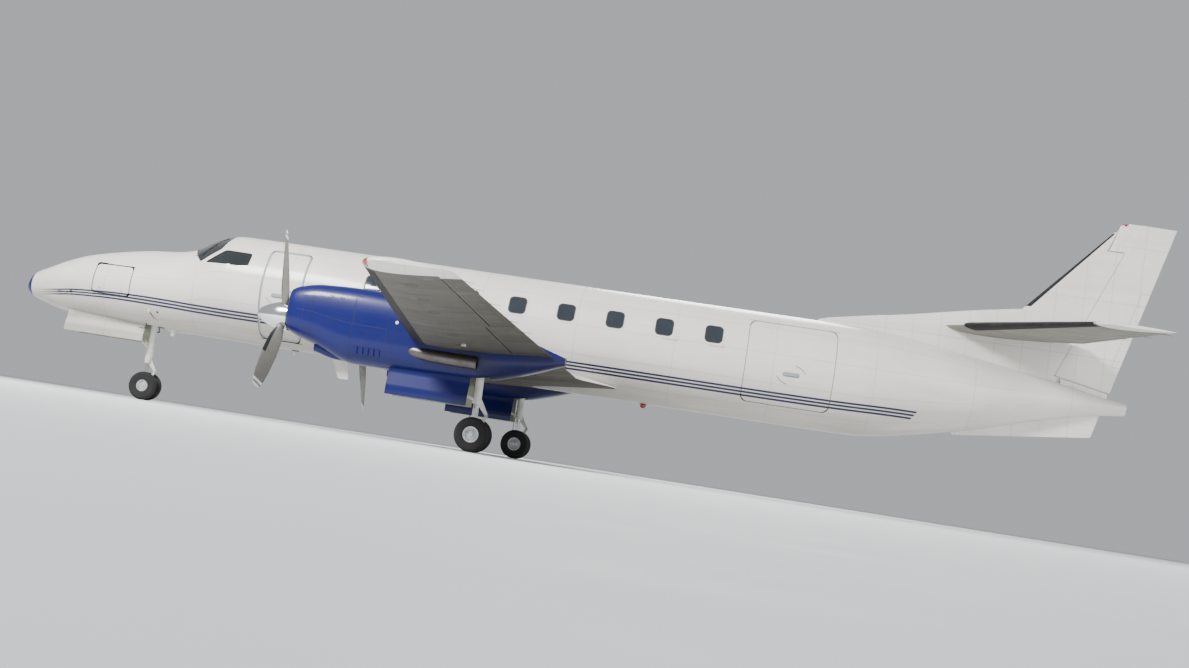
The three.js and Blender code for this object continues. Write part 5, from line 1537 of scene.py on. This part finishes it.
def tyre(name, wheel, centre, body, node):
    r, w, rim = wheel["radius"], wheel["width"] / 2, wheel["rim"] + .0004
    wall = r - rim
    half = [(rim, -.76 * w), (rim + .35 * wall, -w), (r - .25 * wall, -.96 * w),
            (r - .04 * wall, -.56 * w), (r, -.18 * w), (r - .006, -.10 * w)]
    profile = half + [(u, -v) for u, v in half[::-1]] + half[:1]
    add(name, turned(profile, centre, ACROSS, 40), rubber, [node], body, 28)


def wheel_pair(body, wheel, centre, node, bolt):
    """Two dished rims with bolts and hub caps, on one axle."""
    half, rim, gap = wheel["width"] / 2, wheel["rim"], wheel["spacing"] / 2
    shapes, places = [], []
    for side in (-1, 1):
        mid = np.array(centre) + (0, side * gap, 0)
        for profile, steps in ((RIM, 44), (HUB_CAP, 28)):
            turn = [(u * rim, v * half * side) for u, v in profile]
            shapes.append(turned(turn, mid, ACROSS, steps))
        for a in 2 * math.pi * np.arange(BOLTS) / BOLTS:
            way = np.array([math.cos(a), 0, math.sin(a)])
            places.append((mid + way * rim * .48 + (0, side * half * .255, 0), (0, side, 0), way))
    shapes.append(rod(wheel["axle"], -gap + .01, gap - .01, centre, ACROSS, 28))
    add(f"{body}_rims", together(*shapes), wheel_silver, [node], body, 30)
    fit(repeated(f"{body}_bolts", bolt, places, bare_metal, rim / .1), body=body)


def forged_arm(a, b, wide_a, wide_b, thick):
    """A flat forged link between two points, with round ends."""
    length = np.linalg.norm(b - a)
    along = (b - a) / length
    turns = np.linspace(0, math.pi, 9)
    outline = [(-wide_a * math.sin(t), wide_a * math.cos(t)) for t in turns]
    outline += [(length + wide_b * math.sin(t), -wide_b * math.cos(t)) for t in turns]
    return prism(outline, a, along, np.cross(ACROSS, along), ACROSS, -thick / 2, thick / 2)


def torque_links(name, upper, elbow, lower, widths, thick, pin, pin_half, body):
    """Two forged links that meet at an elbow, with the pin there."""
    links = together(forged_arm(upper, elbow, widths[0], widths[1], thick),
                     forged_arm(elbow, lower, widths[1], widths[2], thick),
                     rod(pin, -pin_half, pin_half, elbow, ACROSS, 16))
    add(name, links, leg_white, body=body)


def struts(name, y, rows, material=None, sides=24):
    """Rods from rows of (points of (station, offset from y, height), radius or radii)."""
    rows = [([at(x, y + off, z) for x, off, z in points], radius) for points, radius in rows]
    return tubes(name, rows, material or leg_white, sides)


def main_leg(label, side):
    y, name = side * THRUST_Y, f"main_leg_{label}"
    rows = [([(8.05, 0, -.66), (8.0505, 0, -.69), (8.051, 0, -.70), (8.0685, 0, -1.27),
              (8.069, 0, -1.275), (8.07, 0, -1.33)], (.066, .066, .060, .060, .067, .067)),
            ([(8.054, -.2, -.78), (8.054, .2, -.78)], .034),
            ([(DRAG_X, -.31, -.9), (DRAG_X, .31, -.9)], .022)]
    for off in (-1, 1):
        rows += [([(DRAG_X, off * .1, -.9), (8.03, off * .03, -1.28)], .021),
                 ([(DRAG_X, off * .075, -.9), (DRAG_X, off * .125, -.9)], .034)]
    rows += [([(MAIN_X - .02, 0, -1.62), (MAIN_X - .008, 0, -1.70), (MAIN_X, 0, MAIN_Z)],
              (.050, .056, .050)),
             ([(MAIN_X, -.052, MAIN_Z), (MAIN_X, .052, MAIN_Z)], .052)]
    fit(struts(f"{name}_struts", y, rows), [name])
    piston = [([(8.068, 0, -1.32), (MAIN_X - .018, 0, -1.63)], .044)]
    fit(struts(f"{name}_piston", y, piston, chromed, 28))
    torque_links(f"{name}_links", at(MAIN_X + .01, y, -1.29), at(MAIN_X + .15, y, -1.48),
                 at(MAIN_X + .03, y, -1.70), (.045, .020, .040), .022, .012, .035, "airframe")
    hose = [(8.0 + .01 * math.sin(t * 3), .055, -.75 - t * .5) for t in np.linspace(0, 1.6, 10)]
    fit(struts(f"{name}_brake_line", y, [(hose, .006)], dark_trim, 8))
    disc = [(.034, .058), (.092, .058), (.092, .088), (.034, .088)]
    discs = [turned([(radius, off * end) for radius, off in disc],
                    at(MAIN_X, y, MAIN_Z), ACROSS, 36) for end in (-1, 1)]
    add(f"{name}_brakes", together(*discs), burnt_metal)


def nose_leg():
    rows = [([(STEER_X, 0, z) for z in (-.5605, -.60, -.61, -1.19, -1.2, -1.2397)],
             (.056, .056, .05, .05, .057, .057)),
            ([(STEER_X, -.229, -.70), (STEER_X, .229, -.70)], .030)]
    rows += [([(1.52, off * .06, -.575), (2.21, off * .02, -1.18)], .018) for off in (-1, 1)]
    fit(struts("nose_leg_struts", 0, rows), ["nose_leg"])
    rows = [([(STEER_X, 0, z) for z in (-1.2405, -1.26, -1.40, -1.42)], (.062, .062, .055, .05)),
            ([(STEER_X, 0, -1.68), (NOSE_X, 0, NOSE_Z)], (.036, .038)),
            ([(NOSE_X, -.034, NOSE_Z), (NOSE_X, .034, NOSE_Z)], .042)]
    fit(struts("nose_fork_struts", 0, rows), ["nose_fork"], "nose_steering")
    piston = [([(STEER_X, 0, -1.41), (STEER_X, 0, -1.69)], .034)]
    fit(struts("nose_piston", 0, piston, chromed), body="nose_steering")
    torque_links("nose_links", at(STEER_X + .03, 0, -1.385), at(STEER_X + .15, 0, -1.54),
                 at(STEER_X + .02, 0, -1.72), (.035, .016, .03), .018, .010, .028, "nose_steering")
    lamp_at = at(STEER_X - .085, 0, -1.10)
    lamp = [(0, .05), (.03, .045), (.055, .0), (.058, -.004), (.058, -.010), (0, -.010)]
    lens = [(0, -.0105), (.054, -.0105), (.05, -.016), (0, -.02)]
    add("taxi_lamp", turned(lamp, lamp_at, AFT, 28), leg_white)
    add("taxi_lamp_lens", turned(lens, lamp_at, AFT, 28), clear_lens)


def gear_door(name, span, top, root, low, lean, y, material, plan, side, inner=False):
    """An upright root, a bend and a panel that leans out. An inner door mirrors the outer one."""
    thick, bend = .014, low * .7
    outline = [(0, 0), (thick, 0), (thick, -root), (thick - lean, -bend), (thick - lean, -low),
               (-lean, -low), (-lean, -bend), (0, -root)]
    ys, zs = np.array(softened(outline, .02, 4)).T
    shape = over_rings([at(x, y + ys, top + zs) for x in span])
    if inner:
        points, faces = mirrored(shape)
        shape = points - (0, 2 * THRUST_Y, 0), faces
    piece = made(f"{name}_panel", sided(shape, side), materials=[material, well_green])
    outward = -side if inner else side
    choose(piece, lambda station, _, z, n: np.where(n[:, 1] * outward < -.3, 1, 0))
    return fit(lay_map(piece, plan[0]), [name])


def gear():
    head = [(0, 0), (.0075, 0), (.0075, .006), (.004, .009), (0, .009)]
    bolt = made("bolt_pattern", turned(head, (0, 0, 0), UP, 6))
    for label, side in SIDES:
        main_leg(label, side)
        body, centre = f"main_wheels_{label}", at(MAIN_X, side * THRUST_Y, MAIN_Z)
        wheel_pair(body, MAIN_WHEEL, centre, f"main_hubs_{label}", bolt)
        for place, off in (("outer", 1), ("inner", -1)):
            mid = centre + (0, side * off * MAIN_WHEEL["spacing"] / 2, 0)
            tyre(f"main_{place}_{label}_tyre", MAIN_WHEEL, mid, body, f"main_tyre_{place}_{label}")
            gear_door(f"main_gear_door_{place}_{label}", (6.79, 7.96), -.96, .11, .43, .05,
                      -THRUST_Y - .2147, nacelle_blue, (nacelle_map, "blue_paint"), side, off < 0)
        centre = at(NOSE_X, side * NOSE_WHEEL["spacing"] / 2, NOSE_Z)
        tyre(f"nose_{label}_tyre", NOSE_WHEEL, centre, "nose_wheels", f"nose_tyre_{label}")
        gear_door(f"nose_gear_door_{label}", (.86, 2.18), -.69, .17, .40, .045, -.2297, skin_white,
                  (skin_map, "white_paint"), side)
    nose_leg()
    wheel_pair("nose_wheels", NOSE_WHEEL, at(NOSE_X, 0, NOSE_Z), "nose_hubs", bolt)
    drop(bolt)


gear()


# Cabin and cockpit

FLOOR_TOP = -.66
PANEL_BACK = 3.13
YOKE_X, YOKE_Z = 3.30, .02
# Cushions: name, front and back, half width, bottom and top, lean
SEAT = [("base", 3.33, 3.79, .215, -.29, -.18, 0), ("back", 3.72, 3.83, .215, -.22, .32, .2),
        ("head", 3.84, 3.92, .12, .34, .48, 0)]


def cushion(name, x0, x1, y, half, z0, z1, lean):
    """A padded seat part, leaning back as it rises."""
    outline = rounded(x0, x1, z0, z1, min(x1 - x0, z1 - z0) * .3)
    rings = []
    for share in np.linspace(-1, 1, 9):
        xs, zs = np.array(scaled_out(outline, -.035 * share ** 4)).T
        rings.append(at(xs + lean * (zs - z0), y + share * half, zs))
    return made(name, over_rings(rings), materials=[seat_cloth])


def cabin():
    floor = made("cabin_floor_boards", block(2.7603, 13.0, -.52, .52, -.69, FLOOR_TOP, .003),
                 materials=[carpet, lining_grey])
    carve(floor, body_shape(2.6, 13.2, -WALL - CLEAR, .4, 64), how="INTERSECT")
    choose(floor, lambda station, y, z, n: np.where(n[:, 2] > .5, 0, 1))
    fit(floor, ["cabin_floor"])
    hollow = body_shape(2.8, 3.4, -WALL - CLEAR, .1, 64)
    hood = side_prism([(3.0, .232), (3.19, .232), (3.23, .262), (3.2, .285), (3.02, .262)],
                      -.56, .56)
    for name, shape, nodes in (
            ("instrument_panel_face", block(3.03, PANEL_BACK, -.52, .52, -.15, .23, .01),
             ["instrument_panel"]),
            ("glare_shield", hood, ())):
        piece = made(name, shape, materials=[dark_trim])
        fit(carve(piece, hollow, how="INTERSECT"), nodes)
    add("centre_pedestal", block(3.10, 3.42, -.09, .09, FLOOR_TOP + .001, -.16, .03), dark_trim)
    dial = made("dial_pattern", turned([(0, 0), (.036, 0), (.036, .008), (.031, .008), (.030, .005),
                                        (0, .005)], (0, 0, 0), UP, 20))
    places = [(at(PANEL_BACK + .0002, side * y, z), AFT, ACROSS) for z in (.16, .07, -.03)
              for side in (-1, 1) for y in (.06, .17, .26, .35, .44)]
    fit(repeated("panel_dials", dial, places, bare_metal))
    drop(dial)
    for label, side in SIDES:
        y, name = side * .37, f"pilot_seat_{label}"
        wheel = [at(YOKE_X, y + .16 * math.sin(a), YOKE_Z + .11 * math.cos(a))
                 for a in np.radians(np.linspace(40, 320, 20))]
        rows = [(wheel, .012), ((at(3.133, y, YOKE_Z), at(YOKE_X, y, YOKE_Z)), .014),
                ((at(YOKE_X, y - .12, .0), at(YOKE_X, y + .12, .0)), .012)]
        fit(tubes(f"yoke_{label}", rows, dark_trim, 10))
        for part, x0, x1, half, z0, z1, lean in SEAT:
            piece = cushion(f"{name}_{part}", x0, x1, y, half, z0, z1, lean)
            fit(piece or piece, [name] if part == "base" else ())
        foot = together(block(3.42, 3.74, y - .04, y + .04, -.6597, -.30, .02),
                        block(3.40, 3.76, y - .17, y + .17, -.32, -.292, .005))
        add(f"{name}_frame", foot, bare_metal)


cabin()


# Small fittings outside

def leading_boot(stations, edge, reach):
    """A thin rubber shell round a leading edge, over this share of the chord.

    edge(s) gives the front, the chord, half(f), mid(f) and place(x, h) of a row.
    """
    f = np.concatenate([CHORD[CHORD < reach * .8], [reach]])
    share = np.concatenate([f[::-1], f[1:]])
    face = np.concatenate([-np.ones(len(f) - 1), [0], np.ones(len(f) - 1)])
    lift = .0022 * (1 - .6 * share / reach)
    rings = []
    for s in stations:
        le, chord, half, mid, place = edge(s)
        x, h = le + share * chord, (mid(share) + face * half(share)) * chord
        outer = place(x - lift * (1 - share / reach), h + face * lift)
        rings.append(np.concatenate([outer, place(x + .006, h - face * .006)[::-1]]))
    return over_rings(rings)


def wing_edge(y):
    le, te, thick = wing_at(y)
    return le, te - le, (lambda f: half_thick(f, thick)), camber_at, wing_place(y)


def tail_edge(y):
    le = tail_le(y)
    return (le, tail_te(y) - le, (lambda f: half_thick(f, TAIL_THICK)), (lambda f: 0 * f),
            (lambda x, h: at(x, -y, TAIL_Z + h)))


def fin_edge(z):
    le = fin_le(z)
    chord = rudder_hinge(z) + FIN_BACK - le
    return (le, chord, (lambda f: fin_shape(f)[:, 0] * fin_half(z) / chord), (lambda f: 0 * f),
            (lambda x, h: at(x, h, z)))


def on_edge(edge, y, f, face, lift=.0006):
    """A point on the upper (1) or lower (-1) skin at a share of the chord."""
    le, chord, half, mid, place = edge(y)
    return place(le + f * chord, (mid(f) + face * half(f)) * chord + face * lift)


# Boots: name, spans, edge, share of the chord
BOOTS = [("wing_boot", np.linspace(2.668, 6.72, 22), wing_edge, .115),
         ("wing_root_boot", np.linspace(.93, 1.86, 6), wing_edge, .12),
         ("tailplane_boot", np.linspace(.35, 2.25, 10), tail_edge, .10)]
# Trim tabs: surface, edge, inboard and outboard end, front as a share of the chord
TABS = [("aileron", wing_edge, 4.6, 5.5, .945), ("elevator", tail_edge, .45, 1.3, .92)]


def wing_fittings(label, side):
    """Boots, tab outlines, inspection covers, fuel caps and the light at the tip."""
    way = vec([1, -side, 1])
    for name, spans, edge, reach in BOOTS:
        add(f"{name}_{label}", sided(leading_boot(spans, edge, reach), side), boots,
            angle=50)
    for name, edge, y0, y1, f in TABS:
        corners = ((y0, .995), (y0, f), (y1, f), (y1, .995))
        draw_lines(f"{name}_tab_lines_{label}", [[on_edge(edge, y, share, face) * way
                                                  for y, share in corners] for face in (-1, 1)],
                   f"{name}_{label}")
    covers = []
    for y in (3.05, 3.7, 4.35, 5.0, 5.65, 6.3):
        le, te, _ = wing_at(y)
        covers.append([on_edge(wing_edge, y + .05 * math.sin(a),
                               .42 + .075 * math.cos(a) / (te - le), -1) * way
                       for a in np.linspace(0, 2 * math.pi, 15)])
    draw_lines(f"wing_covers_{label}", covers)
    for i, y in enumerate((3.5, 5.7)):
        cap = turned([(0, -.01), (.045, -.01), (.045, .001), (.04, .003), (0, .003)],
                     on_edge(wing_edge, y, .5, 1, .001) * way, UP, 24)
        add(f"fuel_cap_{label}_{i + 1}", cap, bare_metal)
    lens = made(f"tip_light_{label}", sided(wing_shape(np.linspace(6.84, 7.03, 8), .004), side),
                materials=[red_lens if side < 0 else green_lens])
    tip = block(7.3, 7.425, *sorted((side * 6.85, side * 7.02)), -.4, .2)
    fit(carve(lens, tip, how="INTERSECT"))


def fin_fittings():
    """Boot, tab outline and beacon, the fin under the tail and the lamp at its end."""
    add("fin_boot", leading_boot(np.linspace(1.56, 2.88, 12), fin_edge, .07), boots,
        angle=50)
    rows = []
    for side in (-1, 1):
        points = []
        for z, back in ((.80, .004), (.80, .13), (2.0, .13), (2.0, .004)):
            te = rudder_te(z)
            half = .005 + (fin_half(z) - .005) * back / (te - rudder_hinge(z))
            points.append(at(te - back, side * (half + .0004), z))
        rows.append(points)
    draw_lines("rudder_tab_lines", rows, "rudder")
    beacon = turned([(0, -.02), (.02, -.02), (.044, 0), (.043, .012), (.032, .024), (0, .0305)],
                    at(17.314, 0, BEACON_Z + .0004), UP, 24)
    add("rudder_beacon", beacon, red_lens, body="rudder")
    outline = softened([(15.05, -.50), (15.08, -.60), (17.15, -.33), (17.25, .04),
                        (17.0, .12)], .03)
    ventral = made("ventral_fin", side_prism(outline, -.020, .020), materials=[tail_white])
    fit(lay_map(carve(ventral, body_shape(14.9, 17.6, CLEAR, .1)), fin_map))
    lamp = turned([(0, -.004), (.05, -.004), (.045, .02), (0, .03)], at(TAIL_END, 0, .172), AFT, 24)
    add("tail_lamp", lamp, dark_trim)


def jack_pad(name, x, y, low, high, seat):
    pad = turned([(0, low), (.04, low), (.04, high), (0, high)], at(x, y, 0), UP, 28)
    fit(carve(made(f"jack_pad_{name}", pad, materials=[bare_metal]), seat))


def belly_fittings():
    """Jack pads, an aerial and two lamps."""
    for name, x, y, low, high in (("nose", 2.60, .33, -.80, -.50), ("tail", 14.30, 0, -.74, -.60)):
        jack_pad(name, x, y, low, high, body_shape(x - .3, x + .3, CLEAR, .1))
    for label, side in SIDES:
        jack_pad(f"wing_{label}", 7.9, side * 3.1, wing_z(3.1) - .14, wing_z(3.1) - .02,
                 sided(wing_shape((2.9, 3.3), CLEAR), side))
    outline = softened([(5.21, -.83), (5.48, -.83), (5.56, -1.19), (5.39, -1.19)], .03)
    aerial = made("belly_aerial", side_prism(outline, -.008, .008), materials=[white_trim])
    fit(carve(aerial, body_shape(5.1, 5.7, CLEAR, .3)))
    for name, station, lens in (("front", 4.62, clear_lens), ("rear", 10.3, red_lens)):
        (centre, radius), = body_line(station)
        foot = at(station, 0, centre - radius)
        base = turned([(0, -.01), (.06, -.01), (.056, .012), (0, .012)], foot, DOWN, 28)
        glass = turned([(0, .0122), (.045, .0122), (.043, .045), (.03, .065), (0, .073)],
                       foot, DOWN, 28)
        add(f"belly_lamp_base_{name}", base, dark_trim)
        add(f"belly_lamp_lens_{name}", glass, lens)


def nose_fittings():
    """Wipers, probes, static ports, a drain and a lamp stub round the nose."""
    wipers, probes = [], []
    for label, side in SIDES:
        wipers += [(along_body([(2.93, .36), (3.06, .47), (3.17, .60)], side, .014), .006),
                   (along_body([(3.03, .40), (3.16, .585), (3.28, .76)], side, .008), .0055)]
        root, way = on_body(.95, -.47, side)
        tip = root + way * .12
        probes += [((root - way * .01, tip), .011),
                   ((tip, tip - vec([.02, 0, 0]), tip - vec([.15, 0, 0])), (.012, .012, .008))]
        root, way = on_body(2.2, -.80, side)
        tip = root + way * .09
        probes += [((root - way * .01, tip), .009), ((tip, tip - vec([.10, 0, 0])), (.010, .006))]
        skin_disc(f"static_port_{label}", 2.45, -.61, .020, .003, dark_trim, side, steps=20)
        skin_disc(f"nose_bulb_{label}", 2.31, -.60, .022, .022, white_trim, side, steps=20)
    fit(tubes("wipers", wipers, dark_trim, 8))
    fit(tubes("air_probes", probes, dark_trim, 12))
    streak = along_body([(2.33, -.63), (2.36, -.68), (2.44, -.75)], lift=.0004)
    fit(tubes("nose_drain_streak", [(streak, (.010, .008, .002))], dark_trim, 8))
    (centre, radius), = body_line(2.62)
    stub = turned([(0, -.03), (.034, -.03), (.034, .085), (.028, .095), (0, .095)],
                  at(2.62, -.16, centre - radius * .97), DOWN, 24)
    add("nose_lamp_stub", stub, white_trim)


def wicks_and_marks():
    """Static wicks on the trailing edges, and red corners on the skin by two windows."""
    wicks = []
    for side in (-1, 1):
        feet = [(wing_te(y), y, wing_z(y), .13) for y in (6.62, 6.3, 5.6, 4.7, 4.1)]
        feet += [(tail_te(y), y, TAIL_Z, .12) for y in (2.15, 1.7, 1.2)]
        for te, y, z, reach in feet:
            ends = (at(te - .03, side * y, z), at(te + reach, side * y, z - .01))
            wicks.append((ends, (.004, .002)))
    fit(tubes("static_wicks", wicks, dark_trim, 6))
    marks = []
    for station in (10.6, 11.3):
        corner = [(station - .11, .13), (station + .11, .13), (station + .11, .30)]
        marks.append((along_body(corner, lift=.001), .004))
    fit(tubes("exit_marks", marks, mark_red, 6))


for wing_label, wing_side in SIDES:
    wing_fittings(wing_label, wing_side)
fin_fittings()
belly_fittings()
nose_fittings()
wicks_and_marks()


# Floor, light and camera

# Name, place, size, power
LIGHTS = [("key", (-11, -15, 15), 6, 9000), ("fill", (14, -11, 6), 9, 900),
          ("back", (3, 15, 12), 9, 3000)]
LIT_POINT = (0, 0, 1.5)
FLOOR_HALF = 70


def facing(place, aim):
    return (Vector(aim) - Vector(place)).to_track_quat("-Z", "Y")


def studio():
    world = bpy.data.worlds.new("studio")
    bpy.context.scene.world = world
    world.use_nodes = True
    colour, strength = world.node_tree.nodes["Background"].inputs[:2]
    colour.default_value = (0.83, 0.86, 0.9, 1)
    strength.default_value = 0.55
    paint = plain_finish("floor_paint", (0.70, 0.71, 0.72), 0.8, 0.0, 3, wear_share=0.06, bump=0.0)
    corners = [(-FLOOR_HALF, -FLOOR_HALF), (FLOOR_HALF, -FLOOR_HALF), (FLOOR_HALF, FLOOR_HALF),
               (-FLOOR_HALF, FLOOR_HALF)]
    floor = made("floor", over_rings([[(x, y, z) for x, y in corners] for z in (-.02, 0)]),
                 materials=[paint])
    for name, place, size, power in LIGHTS:
        lamp = bpy.data.lights.new(name, "AREA")
        lamp.shape, lamp.size, lamp.energy = "DISK", size, power
        holder = bpy.data.objects.new(name, lamp)
        holder.location = place
        holder.rotation_euler = facing(place, LIT_POINT).to_euler()
        bpy.context.scene.collection.objects.link(holder)


def camera(place, aim, angle, roll):
    lens = bpy.data.cameras.new("view")
    lens.sensor_fit, lens.angle, lens.clip_end = "HORIZONTAL", math.radians(angle), 500
    view = bpy.data.objects.new("view", lens)
    view.location = place
    view.rotation_mode = "QUATERNION"
    view.rotation_quaternion = facing(place, aim) @ Quaternion((0, 0, 1), math.radians(roll))
    bpy.context.scene.collection.objects.link(view)
    bpy.context.scene.camera = view


studio()
camera((2.2, -20.9, 0.06), (0.32, 0.0, 2.15), 48.3, 9.0)
